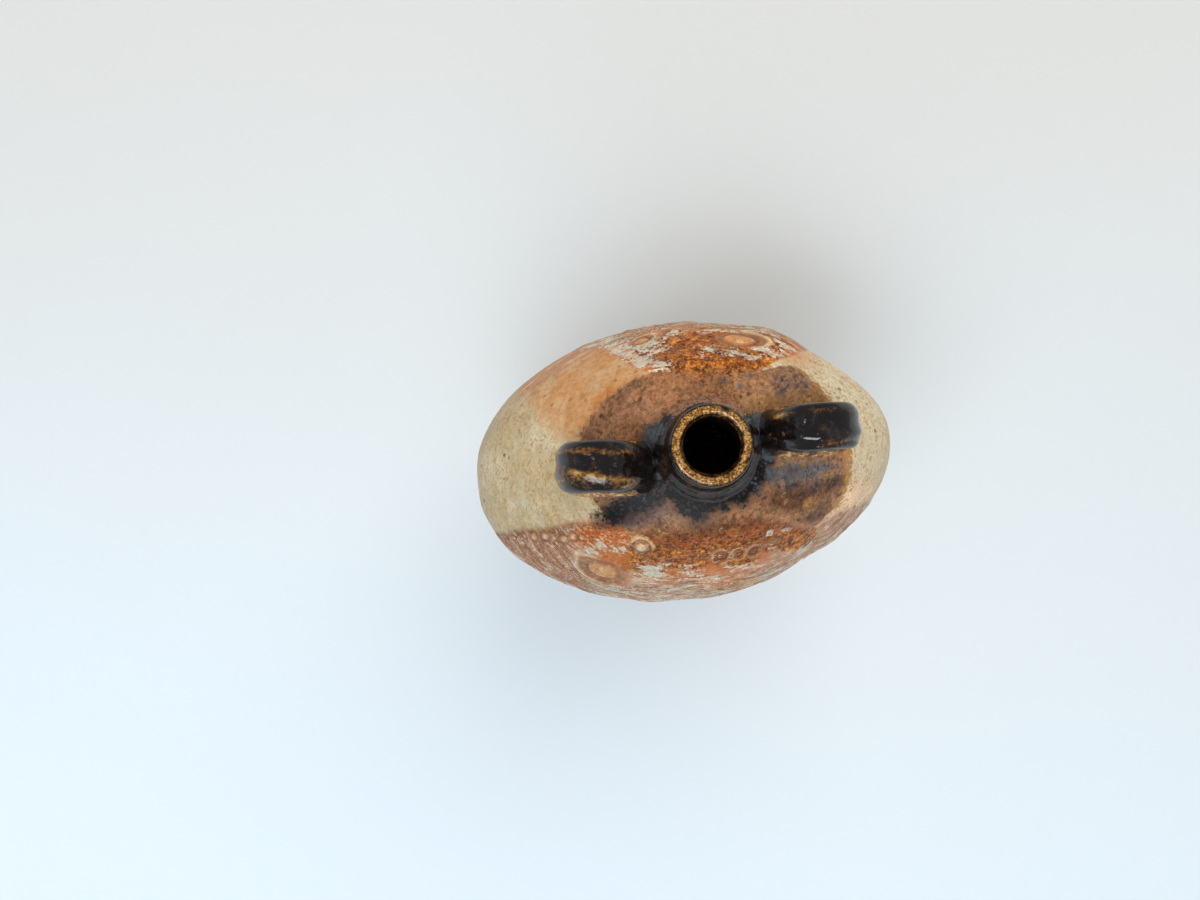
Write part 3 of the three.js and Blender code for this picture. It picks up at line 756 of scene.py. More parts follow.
# the grain slants down to the right on the left half of the front face and runs level elsewhere
lag = np.where(D2 >= 180, np.clip(-15 - U, 0, None), 0.0)
tt = np.clip(lag / 40, 0, 1)
G = V - 0.5 * np.where(lag < 40, 40 * (tt ** 3 - tt ** 4 / 2), lag - 20) + np.where(D2 < 180, 0.05 * U, 0.0)
calm = np.zeros_like(V)            # where a knot hides the grain
knot_h = np.zeros_like(V)
knot_tan = np.zeros_like(V)        # smooth tan disc
knot_dark_and_shade = np.zeros_like(V)       # brown groove; on the buttons also a painted shade crescent on the lower-left side
knot_hollow = np.zeros_like(V)     # smooth brown hollow round a boss
knot_pale_and_highlight = np.zeros_like(V)       # pale nubs and rims, with painted highlights on the buttons' left crest and nub and on the rings' upper arc
knot_deep = np.zeros_like(V)       # dark ring round a small knot; round the comb nubs it is painted shadow
for deg, k, R, kind in KNOTS:
    f = math.radians(deg)
    c = surface(np.array(f), np.array(k))
    eu = surface(np.array(f + 1e-4), np.array(k)) - c
    ev = surface(np.array(f), np.array(k + 1e-4)) - c
    eu /= np.linalg.norm(eu)
    ev -= (ev @ eu) * eu
    ev /= np.linalg.norm(ev)
    off = P0 - c
    near = np.linalg.norm(off, axis=-1) < 7 * R
    if not near.any():
        continue
    du, dv = (off[near] @ eu), (off[near] @ ev)
    wide, tall = (1.30, 1.02) if kind == "button" else (1.0, 1.32)
    tilt = 0.16 * math.sin(deg) if kind == "button" else 0.0
    du, dv = du + tilt * dv, dv - tilt * du
    r = np.hypot(du / wide, dv / tall)
    wob = 1 + 0.20 * noise(du / R * 0.8, dv / R * 0.8, deg, 5) + 0.08 * noise(du / R * 2.2, dv / R * 2.2, deg, 6)
    rr = r / R * wob
    amp = 1.0 if kind == "ring" else min(1.0, 0.22 + R / 9)
    if kind in ("button", "ring"):
        gap = np.maximum(r, R)
        vc = V[np.argmin(np.abs(KK - k)), np.argmin(np.abs(DEG - deg))]
        pull = -dv * (R / gap) ** 2 * smooth(7, 4.5, r / R)
        G[near] = np.where(rr < 1, vc + (1 - rr) * R * 1.2, G[near] + pull)
    h = np.zeros_like(rr)
    if kind == "button":
        shade = smooth(0.5, -0.8, dv / R + 0.6 * du / R)
        boss = smooth(0.72, 0.60, rr)
        hollow = smooth(1.20, 1.00, rr) * (1 - boss)
        nub = np.hypot(du / R - 0.04, dv / R - 0.26)
        h += -0.60 * smooth(1.20, 0.86, rr) + 0.95 * boss * (1 - 0.55 * rr ** 2) - 0.25 * bell(rr - 0.72, 0.10) * shade
        h += 0.42 * bell(rr - 1.28, 0.14) + 0.24 * bell(nub, 0.14) - 0.14 * bell(nub - 0.26, 0.07)
        calm[near] = np.maximum(calm[near], smooth(1.5, 1.15, rr))
        knot_tan[near] = np.maximum(knot_tan[near], boss)
        knot_hollow[near] = np.maximum(knot_hollow[near], hollow)
        # painted shade and highlight: the dark crescent is heaviest on the lower-left side of the button, and a pale
        # highlight runs along its left crest and round the nub
        knot_dark_and_shade[near] = np.maximum(knot_dark_and_shade[near], 0.95 * bell(rr - 0.76, 0.11) * (0.2 + 0.8 * shade) + 0.5 * bell(rr - 1.10, 0.10) * shade)
        knot_pale_and_highlight[near] = np.maximum(knot_pale_and_highlight[near], 0.8 * bell(rr - 1.30, 0.11) * smooth(0.0, -0.6, du / R) + 0.55 * bell(nub - 0.14, 0.08))
    elif kind == "ring":
        h += 0.62 * bell(rr - 1.12, 0.20) - 0.70 * bell(rr - 0.74, 0.20) + 0.70 * bell(rr, 0.36)
        calm[near] = np.maximum(calm[near], smooth(1.7, 1.2, rr))
        knot_deep[near] = np.maximum(knot_deep[near], bell(rr - 0.82, 0.22))
        # painted highlight: a pale arc along the upper edge of the ring, besides its pale centre
        knot_pale_and_highlight[near] = np.maximum(knot_pale_and_highlight[near], 1.2 * bell(rr, 0.52) + 0.8 * bell(rr - 1.22, 0.16) * smooth(-0.1, 0.6, dv / R))
    elif kind == "loop":
        h += 0.34 * bell(rr, 0.36) - 0.60 * bell(rr - 0.8, 0.28) + 0.40 * bell(rr - 1.4, 0.26)
        calm[near] = np.maximum(calm[near], 0.7 * smooth(1.7, 1.2, rr))
        knot_deep[near] = np.maximum(knot_deep[near], bell(rr - 0.8, 0.30))
        knot_pale_and_highlight[near] = np.maximum(knot_pale_and_highlight[near], 0.45 * bell(rr - 1.45, 0.22))
    elif kind == "pit":
        h += 0.40 * bell(rr - 1.1, 0.3) - 0.70 * bell(rr, 0.6)
        calm[near] = np.maximum(calm[near], 0.6 * smooth(1.6, 1.1, rr))
        knot_dark_and_shade[near] = np.maximum(knot_dark_and_shade[near], 0.65 * bell(rr, 0.6))
        knot_pale_and_highlight[near] = np.maximum(knot_pale_and_highlight[near], 0.35 * bell(rr - 1.2, 0.25))
    else:
        # comb nub: pale top with a dark ring round its foot; the ring is painted shadow
        h += 1.6 * bell(rr, 0.7) - 0.5 * bell(rr - 1.5, 0.3)
        knot_pale_and_highlight[near] = np.maximum(knot_pale_and_highlight[near], 0.95 * bell(rr, 0.7))
        knot_deep[near] = np.maximum(knot_deep[near], 0.6 * bell(rr - 1.5, 0.3))
        calm[near] = np.maximum(calm[near], 0.9 * smooth(2.2, 1.5, rr))
    knot_h[near] += amp * h

# pressed grain, millimetres: long wandering ridges, a few worn ledges, lumps between
comb_end = np.clip(214.5 + 70 * (1.5 - K2), 206, 242) + 3 * fbm(U / 8, V / 8, 4.1, 2, 47)
comb = smooth(comb_end + 4, comb_end - 4, D2) * smooth(190, 200, D2)
G = G + (2.2 - 1.2 * comb) * fbm(U / 30, V / 15, 0.5, 3, 11) + (0.7 - 0.3 * comb) * fbm(U / 9, V / 5, 1.5, 2, 13)
n1 = noise(G / 2.7, U / 38, 0.2, 3)
n2 = noise(G / 1.9, U / 16, 0.7, 5)
n3 = noise(G / 7.5, U / 34, 0.1, 7)
lumps = fbm(U / 5.5, V / 4.5, 8.8, 3, 25)
wear = 0.40 + 0.60 * smooth(-0.3, 0.3, fbm(U / 22, V / 13, 2.2, 3, 21))
wear = np.maximum(wear, 0.55 * comb)
grain_h = wear * (0.46 * (1 - 2.6 * np.abs(n1)) + 0.20 * (1 - 2.6 * np.abs(n2))) + 0.34 * smooth(-0.10, 0.10, n3) - 0.2
grain_h = grain_h + (0.34 - 0.2 * comb) * lumps + 0.5 * fbm(U / 24, V / 14, 4.4, 3, 23)
gritty = smooth(-25, -11, dd) * smooth(228, 246, D2) * smooth(311, 302, D2) + 0.6 * smooth(-40, -20, dd) * smooth(49, 57, D2) * smooth(116, 104, D2)
grain_h = grain_h * (1 - 0.75 * gritty) + 0.42 * gritty * fbm(U / 2.6, V / 2.3, 6.6, 3, 29)
grain_h = grain_h * (1 - 0.85 * calm) + knot_h - 0.10
knot_tex = np.maximum(tex, 0.95 * smooth(-6, -3, panel) * smooth(5, 1, dd) * foot_fade)
relief = grain_h * tex + knot_h * (knot_tex - tex)

# hand-thrown wall elsewhere
rings = 0.10 * np.sin(2 * math.pi * (V / 4.9 + 0.35 * fbm(U / 40, V / 30, 6.1, 2, 31)))
rings = rings * (0.5 + 0.5 * fbm(X / 30, Y / 30, Z / 12, 2, 33)) * smooth(1.62, 1.48, K2)
ribs = sum(a * bell(K2 - k - 0.012 * noise(D2 / 9, k * 7, 0, 37), w)
           for k, a, w in ((1.115, 0.34, 0.010), (1.155, 0.28, 0.009), (1.205, 0.36, 0.011), (1.285, 0.30, 0.010), (1.335, 0.14, 0.014)))
ribs = ribs * smooth(112, 120, D2) * smooth(158, 142, D2) * smooth(-0.15, 0.2, noise(D2 / 7, K2 * 16, 0.3, 39))
swell = 0.35 * fbm(X / 42, Y / 42, Z / 42, 2, 51) + 0.10 * fbm(X / 9, Y / 9, Z / 9, 3, 53) * smooth(1.80, 1.60, K2)
uneven = around([(347, -0.1), (0, -0.8), (16, -1.2), (30, -0.6), (38, -1.0), (45, -1.9), (51, -1.4), (57, -0.8), (62, -0.5), (69, -1.9), (76, -1.5),
                 (84, -1.2), (92, -1.2), (107, -1.1), (114, -0.5), (142, 0.0), (154, -0.5), (169, -0.8), (186, -0.6), (198, -1.2),
                 (212, -0.3), (242, 0.0), (248, -0.5), (256, 0.3), (264, -0.8), (268, -1.2), (272, -0.3), (294, -0.4), (302, -1.2), (305, -1.5),
                 (311, 0.0), (320, -0.9), (333, 0.1)])
uneven = uneven * smooth(1.62, 1.30, K2) * smooth(0.25, 0.7, K2)
wall_h = (rings + ribs + swell + uneven) * smooth(1.86, 1.74, K2) * smooth(0.02, 0.10, K2)
dip_step = 0.14 * smooth(-0.5, 1.2, dd) * smooth(1.86, 1.78, K2)
HH = relief + wall_h + dip_step
HH[:len(FOOT)] *= 0.0
P1 = P0 + N0 * HH[..., None]
N1 = grid_normals(P1)

# ---------------------------------------------------------------- body: colour fields
low = np.where(K2 < 1.02, 1.0, 0.0)
top_ring = surface(PHI, np.full(NU, 1.02))
PX = np.where(K2 < 1.02, top_ring[None, :, 0], X)
PY = np.where(K2 < 1.02, top_ring[None, :, 1], Y)
cloud = fbm(X / 20, Y / 20, Z / 20, 4, 61)
mottle = fbm(X / 6, Y / 6, Z / 6, 3, 63)


def at(deg, k, wd, wk):
    off = (D2 - deg + 540) % 360 - 180
    return np.exp(-(off / wd) ** 2 - ((K2 - k) / wk) ** 2)


def spot(x, y, r, ry=None):
    return np.exp(-((X - x) / r) ** 2 - ((Y - y) / (ry or r)) ** 2) * (Z > 110)


col = np.broadcast_to(lin(196, 175, 136), P0.shape).copy()
col = mixc(col, lin(210, 195, 162), smooth(0.0, 0.35, cloud + 0.4 * mottle))
col = mixc(col, lin(186, 154, 106), smooth(0.10, 0.5, -cloud - 0.5 * mottle))
col = mixc(col, lin(190, 175, 150), 0.75 * smooth(1.32, 1.05, K2))
# darker tone below the belly towards the foot: partly ash, partly painted shade under the belly
col = mixc(col, lin(180, 156, 122), 0.55 * smooth(0.85, 0.35, K2 + 0.15 * cloud))

col = mixc(col, lin(212, 200, 174), 0.65 * smooth(34, 60, PX))

# orange flame flash on the left of the back, pink at its lower rim
reach = (PX + 38.4) * 0.761 + (PY - 10.6) * 0.649
fade = smooth(1.20, 0.35, K2)
flash = smooth(-3.5 - 9 * fade, 3.0 + 9 * fade, reach + (8 + 22 * fade) * cloud + 6 * mottle - 24 * fade) * smooth(176, 160, D2) * smooth(100, 110, D2)
flash = flash * smooth(0.22, 0.70, K2 + 0.30 * cloud)
blotch = smooth(0.06, 0.34, cloud + 0.6 * mottle) * 0.8
for bx, by, br in ((-28.6, 29.6, 3.2), (-34.6, 26.9, 2.4), (-42.5, 24.8, 3.0), (-31.8, 35.9, 3.2)):
    blotch = np.maximum(blotch, spot(bx, by, br) * 0.9)
orange = mixc(np.broadcast_to(lin(206, 146, 92), P0.shape), lin(194, 138, 104), smooth(1.42, 1.2, K2))
orange = mixc(orange, lin(210, 168, 124), blotch)
orange = mixc(orange, lin(196, 122, 62), smooth(0.02, 0.36, -cloud + 0.3 * mottle) * smooth(1.3, 1.5, K2) * 0.9)
orange = mixc(orange, lin(190, 128, 92), smooth(0.05, 0.4, fbm(V / 3, U / 30, 3.2, 2, 65)) * smooth(1.4, 1.2, K2) * 0.8)
col = mixc(col, orange, flash * 0.95)
# painted highlight: pale lines along the raised throwing ribs
col = mixc(col, lin(222, 196, 168), np.clip(ribs * 2.8, 0, 1) * 0.85)

# warmer breaths of flame elsewhere
breath = 0.95 * spot(-42, -20.6, 9, 3.0) + 1.0 * spot(-30, -22.5, 9, 3.5) + 0.95 * spot(53, -24.5, 12, 6) + 1.0 * spot(46.5, 32, 8, 6)
breath = breath + 0.6 * at(322, 0.86, 16, 0.30) + 0.45 * at(24, 0.6, 14, 0.25) + 0.4 * at(196, 0.72, 12, 0.22)
col = mixc(col, lin(208, 146, 104), breath * (0.75 + 0.9 * mottle))
col = mixc(col, lin(246, 206, 170), np.clip(spot(55, -24, 13, 6) * (0.9 + 0.8 * mottle), 0, 1))
ember = spot(-29, -23.5, 9, 4.2) + spot(-38, -22.5, 7, 2.6) * 0.8 + 0.7 * spot(-20, -26, 8, 3.6)

# pressed faces: orange under the dip, then pinkish buff, toasted towards the foot
strata = fbm(G / 4.5, U / 26, 0.9, 3, 71)
patchy = fbm(U / 22, V / 17, 3.1, 4, 73)
flame = fbm(U / 46 + V / 60, V / 38, 1.1, 3, 77)
face = np.broadcast_to(lin(188, 146, 114), P0.shape).copy()
face = mixc(face, lin(206, 176, 150), smooth(-0.02, 0.30, strata + 0.4 * patchy))
face = mixc(face, lin(164, 112, 80), smooth(0.05, 0.36, -strata + 0.4 * patchy))
face = mixc(face, lin(204, 188, 170), 0.7 * smooth(1.34, 1.08, K2 + 0.12 * cloud) * smooth(0.55, 0.8, K2) * smooth(-0.10, 0.25, strata - 0.5 * patchy))
face = mixc(face, lin(200, 130, 78), smooth(0.0, 0.26, flame + 0.4 * patchy) * 0.85)
face = mixc(face, lin(196, 108, 42), 0.96 * smooth(1.30, 1.48, K2 + 0.16 * patchy) * smooth(1.80, 1.66, K2))
face = mixc(face, lin(172, 116, 84), 0.95 * comb * smooth(1.60, 1.50, K2))
face = mixc(face, lin(194, 156, 132), 0.85 * smooth(284, 296, D2) * smooth(1.54, 1.46, K2 + 0.08 * patchy) * smooth(0.7, 1.0, K2) * smooth(-0.3, 0.1, strata + 0.2))
face = mixc(face, lin(156, 108, 74), 0.80 * smooth(0.80, 0.34, K2 + 0.16 * patchy))
col = mixc(col, face, smooth(-0.6, 1.4, panel) * foot_fade)
col = mixc(col, lin(184, 85, 20), np.clip(1.25 * ember, 0, 1) * (0.9 + 0.8 * mottle))
seam_line = bell(front - 0.9, 1.5) * smooth(-24, -34, X) * (Z > 100)
col = mixc(col, lin(140, 86, 54), 0.75 * seam_line)

col = mixc(col, lin(152, 108, 80), 0.85 * np.clip(knot_hollow, 0, 1) * knot_tex)
col = mixc(col, lin(206, 150, 98), 0.85 * np.clip(knot_tan, 0, 1) * knot_tex)
col = mixc(col, lin(106, 64, 38), np.clip(1.15 * knot_dark_and_shade, 0, 1) * 0.85 * knot_tex)
col = mixc(col, lin(84, 44, 20), np.clip(1.2 * knot_deep, 0, 1) * 0.92 * knot_tex)
col = mixc(col, lin(232, 208, 168), np.clip(1.1 * knot_pale_and_highlight, 0, 1) * 0.95 * knot_tex)

# white glaze
WHITE = [(112.8, 1.42, 5, .11, 1.4), (110.5, 1.57, 4, .07, 1.4), (107.5, 1.68, 5, .04, 1.3), (102, 1.47, 5, .06, .85), (112, 1.26, 7, .12, .95),
         (93, 1.41, 5, .035, .80), (81, 1.586, 2.6, .035, .84), (84.5, 1.66, 2.4, .025, .74), (72.5, 1.62, 4, .03, .82), (63, 1.63, 4.5, .03, .88),
         (58, 1.53, 5, .045, .92), (54, 1.44, 4, .06, .86), (76, 1.40, 6, .03, .78), (64, 1.34, 8, .05, .52), (97, 1.28, 8, .05, .52),
         (225.5, 1.48, 3.0, .055, .82), (232.2, 1.54, 2.6, .035, .76), (228, 1.34, 3.4, .035, .62), (248.3, 1.442, 6, .05, .84), (260, 1.47, 4, .035, .60),
         (243.5, 1.25, 7, .045, .66), (265, 1.40, 7, .03, .64), (269.2, 1.544, 1.8, .03, .80), (276, 1.554, 1.8, .028, .70), (278.5, 1.46, 5, .03, .60),
         (293.5, 1.629, 1.8, .030, .95), (299.2, 1.597, 2.2, .024, .95), (291.2, 1.522, 1.6, .022, .88), (285.8, 1.32, 7, .03, .64), (260, 1.31, 8, .03, .66),
         (300, 1.36, 5, .03, .58), (276, 1.20, 12, .05, .56), (236, 1.10, 8, .05, .50), (296, 1.12, 9, .06, .52)]
white = np.zeros_like(V)
for deg, k, wd, wk, w in WHITE:
    white = np.maximum(white, w * at(deg, k, wd * 1.15, wk * 1.15))
runs = smooth(-0.10, 0.30, fbm(U / 30, V / 15, 7.7, 4, 81) + 0.35 * fbm(U / 9, V / 24, 2.7, 2, 83)) * smooth(1.40, 1.20, K2)
runs = runs * smooth(0.22, 0.85, K2 + 0.25 * fbm(U / 11, V / 40, 0.7, 2, 85))
white = np.maximum(white, 0.60 * runs)
white = white * smooth(-1.5, 2.5, panel) * foot_fade * (1 - np.clip(knot_tan + knot_hollow + 0.7 * knot_dark_and_shade + knot_deep, 0, 1)) * smooth(6, 1, dd)
STREAK = [(17.9, -38.3), (23.4, -35.7), (29.7, -34.2)]
streak = bell(line_dist(X, Y, STREAK), 1.7) * (Z > 110)
white = white * (1 - 0.9 * streak)
col = mixc(col, lin(104, 60, 27), 0.92 * streak)

# iron-red below the dip
rust = smooth(-46, -22, dd + 14 * mottle + 10 * cloud) * smooth(49, 57, D2) * smooth(116, 104, D2) * smooth(16, 4, dd)
rust = np.maximum(rust, smooth(-25, -13, dd + 8 * mottle + 6 * cloud) * smooth(228, 246, D2) * smooth(311, 302, D2) * smooth(10, 3, dd))
rust = np.maximum(rust, 0.55 * smooth(0.02, 0.34, fbm(U / 19, V / 11, 5.5, 3, 91)) * smooth(1.45, 1.10, K2) * smooth(0.22, 0.5, K2) * tex)
rust = rust * smooth(-1.5, 2, panel + 6 * smooth(-6, 0, dd)) * (1 - np.clip(knot_tan + knot_hollow + knot_pale_and_highlight + 0.9 * knot_dark_and_shade + knot_deep, 0, 1)) * (1 - 0.85 * streak)

# bare toasted clay at the foot, under a wandering glaze line
line = 11 + 3.2 * fbm(np.cos(F2) * 2.1, np.sin(F2) * 2.1, 3.0, 3, 95)
bare = smooth(1.2, -1.0, Z - line)
clay = mixc(np.broadcast_to(lin(172, 130, 92), P0.shape), lin(146, 102, 68), smooth(-0.1, 0.35, cloud))
col = mixc(col, clay, bare)
col = mixc(col, lin(128, 84, 52), 0.6 * bell(Z - line - 0.6, 1.1))

# dip colours over the shoulder
dip = np.broadcast_to(lin(176, 127, 89), P0.shape).copy()
dip = mixc(dip, lin(146, 104, 78), smooth(12, 0, dd) * smooth(96, 122, D2) * smooth(220, 190, D2) * 0.85)
dip = mixc(dip, lin(172, 116, 74), spot(8, 26, 18, 6) * 0.8)
dip = mixc(dip, lin(150, 104, 78), spot(-14, 16, 10, 6) * 0.7)
streaky = smooth(-0.12, 0.22, fbm((0.62 * X - 0.78 * Y) / 1.7, (0.78 * X + 0.62 * Y) / 9, 0.4, 2, 97))
dip = mixc(dip, lin(98, 92, 94), (1.1 * spot(42.8, 18.4, 4.5, 3.5) + 1.1 * spot(36.2, 16, 5, 3.5) + spot(38, 21, 5, 3.5) * 0.8) * (0.15 + 0.95 * streaky))
dip = mixc(dip, lin(104, 102, 102), 1.1 * spot(15.9, 23.0, 1.2, 1.1) + spot(21.1, 20.6, 1.1, 1.0) + 0.5 * spot(24.8, 23.6, 1.6, 1.2))
dip = mixc(dip, lin(146, 106, 66), spot(31, 12.5, 9, 3) * 0.6 + spot(47, 10, 7, 6) * 0.5)
dip = mixc(dip, lin(118, 78, 58), spot(50, 4, 9, 8) * 0.8)
dip = mixc(dip, lin(104, 80, 74), spot(-16, -17.5, 9, 5) + spot(-24, -20, 7, 3.4) * 0.9)
dip = mixc(dip, lin(146, 106, 78), spot(-28.3, -12.4, 5, 2.4) + spot(-21.7, -11, 4.5, 2.0))
dip = mixc(dip, lin(92, 66, 54), spot(-32.5, -14.5, 2.2, 3.0) * 0.9)
dip = mixc(dip, lin(100, 54, 26), smooth(15, 5, dd) * smooth(226, 238, D2) * smooth(308, 298, D2) * 0.9)
dip = mixc(dip, lin(156, 80, 34), smooth(8, -1, dd) * smooth(228, 240, D2) * smooth(306, 298, D2))
dip = mixc(dip, lin(164, 122, 86), spot(18, -18.8, 5, 2.4) * 0.95 + spot(24, -20, 4, 2) * 0.7)
dip = mixc(dip, lin(108, 70, 50), spot(30.6, -19.4, 9, 4.4) * 0.95 + spot(37, -22, 9, 4.4) * 0.9 + spot(47, -18, 8, 4) * 0.7)
dip = mixc(dip, lin(66, 54, 50), (spot(40, -17.5, 12, 5) + spot(30, -13, 9, 3)) * 0.85 * smooth(-0.05, 0.25, fbm(X / 7, Y / 2.2, 0.9, 3, 99)))
dip = mixc(dip, lin(72, 62, 62), spot(42, -17.9, 3.4, 2.0) + spot(34, -15.5, 3, 1.4) * 0.7)
dip = mixc(dip, lin(56, 48, 44), spot(51, -17.4, 4, 2.6))
dip = mixc(dip, lin(108, 74, 54), spot(44.5, -25, 5, 3.4) * 0.9)
dip = mixc(dip, lin(82, 54, 40), spot(40.8, -28.4, 4.5, 2.0))
# blue-grey patches right of the neck: partly painted sheen, as over the thick black glaze
dip = mixc(dip, lin(108, 100, 98), spot(33.8, -11.4, 10, 3.8) * 0.95 + spot(45, -12, 8, 3) * 0.9)
flecks = 0.75 * spot(39.5, -23.2, 2.2, 2.0) + 0.8 * spot(28.8, -7.9, 4.5, 1.8) + 0.75 * spot(47.8, -13.8, 3.0, 2.2) + 0.6 * spot(38.5, -10, 3.2, 1.6)
flecks = flecks + 0.5 * spot(31, 12.5, 9, 2.5) + 0.5 * spot(46, 11, 8, 5) + 0.45 * spot(19, -19, 6, 2.5) + 0.4 * spot(34, -22, 8, 2.5)

POOL = [(-18.5, -4), (-15, -10), (-10.2, -12), (-7.7, -14.8), (-4.8, -18.2), (-1.7, -21.7), (1.6, -22.8), (5.3, -20.9), (8.9, -19.1), (12.8, -17.7),
        (17.2, -18.6), (19.8, -16), (24, -12), (27, -6), (26.5, 1), (23, 7.5), (18, 10.5), (12, 13), (4, 13.5), (-4, 12), (-9.5, 9.5), (-14, 7), (-18, 2)]
TONGUE = [(-33.8, -17.6), (-29.4, -15.8), (-23.6, -13.8), (-18.4, -12.3), (-13, -11), (-10, -13.5), (-14.5, -14.2), (-19, -15.8), (-24.5, -18.4), (-29, -19.2)]
blk = np.maximum(poly_inside(X, Y, POOL), poly_inside(X, Y, TONGUE) + 0.3)
blk = np.where(Z > 120, blk, -40.0)


def haze_and_sheen_at(x, y, z):
    """Blue-grey where the black glaze lies thickest: partly the glaze's milkiness, partly painted sheen reflecting the
    sky.
    """
    h = np.zeros(np.shape(x))
    for hx, hy, hr, w in ((-9.5, 9.8, 3.4, 1.0), (-12, 7, 3.0, 1.0), (-13.8, 3.6, 3.0, 1.0), (-12.6, -1.5, 2.6, 1.0), (-11.4, -6.5, 2.2, 0.62), (-7.6, -11.6, 1.8, 0.25), (25.5, 7, 3.6, 1.0), (27.7, 1, 3.0, 0.9),
                          (26, -4.3, 3.0, 0.8), (23.2, 1.0, 3.4, 0.9), (21.6, 7.8, 3.2, 0.7), (27, -11, 4.5, 0.66), (34, -11, 5.0, 0.56), (22, -14.5, 3.2, 0.5), (-25, -14.6, 2.2, 0.30), (-18, -12.6, 2.2, 0.34)):
        h = np.maximum(h, w * np.exp(-((x - hx) ** 2 + (y - hy) ** 2) / hr ** 2))
    return h * (np.asarray(z) > 140)


goldrim = smooth(312, 322, D2) + smooth(50, 40, D2) + 0.35 * smooth(196, 204, D2) * smooth(232, 224, D2)
cream = (1 - smooth(-1, 1.5, panel)) * (1 - 0.65 * flash) * (1 - bare)

soft = smooth(224, 236, D2) * smooth(310, 300, D2) + smooth(56, 64, D2) * smooth(110, 100, D2) * 0.35
lined = tex * (0.92 - 0.84 * calm) * (1 - 0.75 * np.clip(rust * 1.2, 0, 1) * smooth(1.30, 1.44, K2)) * (1 - 0.85 * smooth(1.36, 1.50, K2) * (1 - comb) * (1 - 0.8 * smooth(284, 296, D2)))
# painted light: lift darkens the colours at the front and brightens them towards the back and the right, making up for
# light that falls mostly from the front; the dip gets the same gradient, held back at the back and back right
lift = ((0.90 + 0.31 * smooth(-34, 26, PY)) * (1 + 0.09 * np.clip(PX / 70, -1, 1)))[..., None]
col, dip = np.clip(col * lift, 0, 0.92), np.clip(dip * lift * (1 - 0.18 * smooth(-12, 0, PY) - 0.12 * smooth(28, 44, PX) * smooth(-6, 3, PY))[..., None], 0, 0.92)
FIELDS = {"col": col, "dipcol": dip, "dd": dd - 16 * np.clip(knot_deep + knot_pale_and_highlight + knot_tan, 0, 1) * smooth(8, 3, dd), "blk": blk, "white": white, "tex": tex, "relief": relief, "cream": cream,
          "grain": G, "along": U, "lift": np.broadcast_to(lift[..., 0], V.shape), "rust": rust, "ember": np.clip(1.3 * ember, 0, 1), "lined": lined, "soft": soft, "haze_and_sheen": haze_and_sheen_at(X, Y, Z), "gold": flecks,
          "goldrim": np.broadcast_to(np.clip(goldrim, 0, 1), V.shape)}


# ---------------------------------------------------------------- body: pieces
def inner_wall(k):
    """Inside face of the wall at meridian positions k, rows by columns."""
    k = np.asarray(k, float)[:, None]
    f = PHI[None, :]
    p = surface(f, k)
    tu = surface(f + 1e-4, k) - p
    tv = surface(f, k + 1e-4) - p
    n = np.cross(tu, tv)
    n /= np.linalg.norm(n, axis=-1, keepdims=True)
    return p - n * WALL


HALF = NU // 2


def shell(name, rows, inner, material, node):
    """Closed wall piece: outer rows of the body grid, then inner rows back to the start."""
    outer = P1[rows]
    pts = np.concatenate([outer, inner])
    nr, no = len(pts), len(outer)
    normals = np.concatenate([N1[rows], grid_normals(inner)])
    heights = np.linalg.norm(np.roll(pts, -1, axis=0) - pts, axis=-1).mean(axis=1)
    uv = strip_uv(nr, NU, heights, [
        (0, no - 1, 0, HALF, 0.004, 0.004, 0.996, 0.472), (0, no - 1, HALF, NU, 0.004, 0.480, 0.996, 0.948),
        (no - 1, nr, 0, NU, 0.004, 0.956, 0.996, 0.996)], None)
    attrs = {}
    for key, value in FIELDS.items():
        v = value[rows]
        pad = np.zeros((len(inner),) + v.shape[1:])
        if key == "col":
            pad = pad + lin(150, 112, 80)
        elif key in ("dd", "blk"):
            pad = pad - 40
        attrs[key] = np.concatenate([v, pad]).reshape((nr * NU,) + v.shape[2:])
    return make_piece(name, pts, torus_faces(nr, NU), uv, attrs, material, node, normals)


inner_seam = inner_wall([1.03])
rim_inner = P1[-1:].copy()
rim_inner[..., 2] -= 5.0
upper = shell("upper_body_fired", slice(J_SEAM, len(KK)),
              np.concatenate([rim_inner, inner_wall(np.linspace(HOLE_K - 0.05, 1.08, 8)), inner_seam]),
              body_material("flashed_shoulder_glaze"), "upper_body")
foot_inner = P0[J_BASE:J_BASE + 1].copy()
foot_inner[..., :2] -= flat[J_BASE] * 7.2
lower = shell("lower_body_fired", slice(J_BASE, J_SEAM + 1),
              np.concatenate([inner_seam, inner_wall(np.linspace(0.94, 0.16, 7)), foot_inner]),
              body_material("stoneware_wall_glaze"), "lower_body")

# foot slab: wire-cut underside, rounded edge, wall strip, flat top
SHRINK = np.concatenate([np.linspace(0.05, 0.94, 20), [0.985]])
edge0 = P1[0]
mid_xy = np.array([ORIGIN_X, 0.0])
under = []
for s in SHRINK:
    xy = mid_xy + (edge0[:, :2] - mid_xy) * s
    swirl = np.hypot(xy[:, 0] - 19, xy[:, 1] + 34)
    cut = 0.22 + 0.13 * np.sin(swirl / 0.85 + 1.2 * noise(xy[:, 0] / 16, xy[:, 1] / 16, 0, 101))
    cut = cut + 0.10 * fbm(xy[:, 0] / 9, xy[:, 1] / 9, 0, 3, 103) + 0.25 * (1 - s)
    under.append(np.column_stack([xy, np.clip(cut, 0.02, 2) * smooth(1.0, 0.90, s)]))
under = np.array(under)
lid = []
for s in (0.985, 0.6, 0.05):
    xy = mid_xy + (P1[J_BASE, :, :2] - mid_xy) * s
    lid.append(np.column_stack([xy, np.full(NU, BASE_T - 0.05)]))
lid = np.array(lid)
wallrows = P1[:J_BASE + 1]
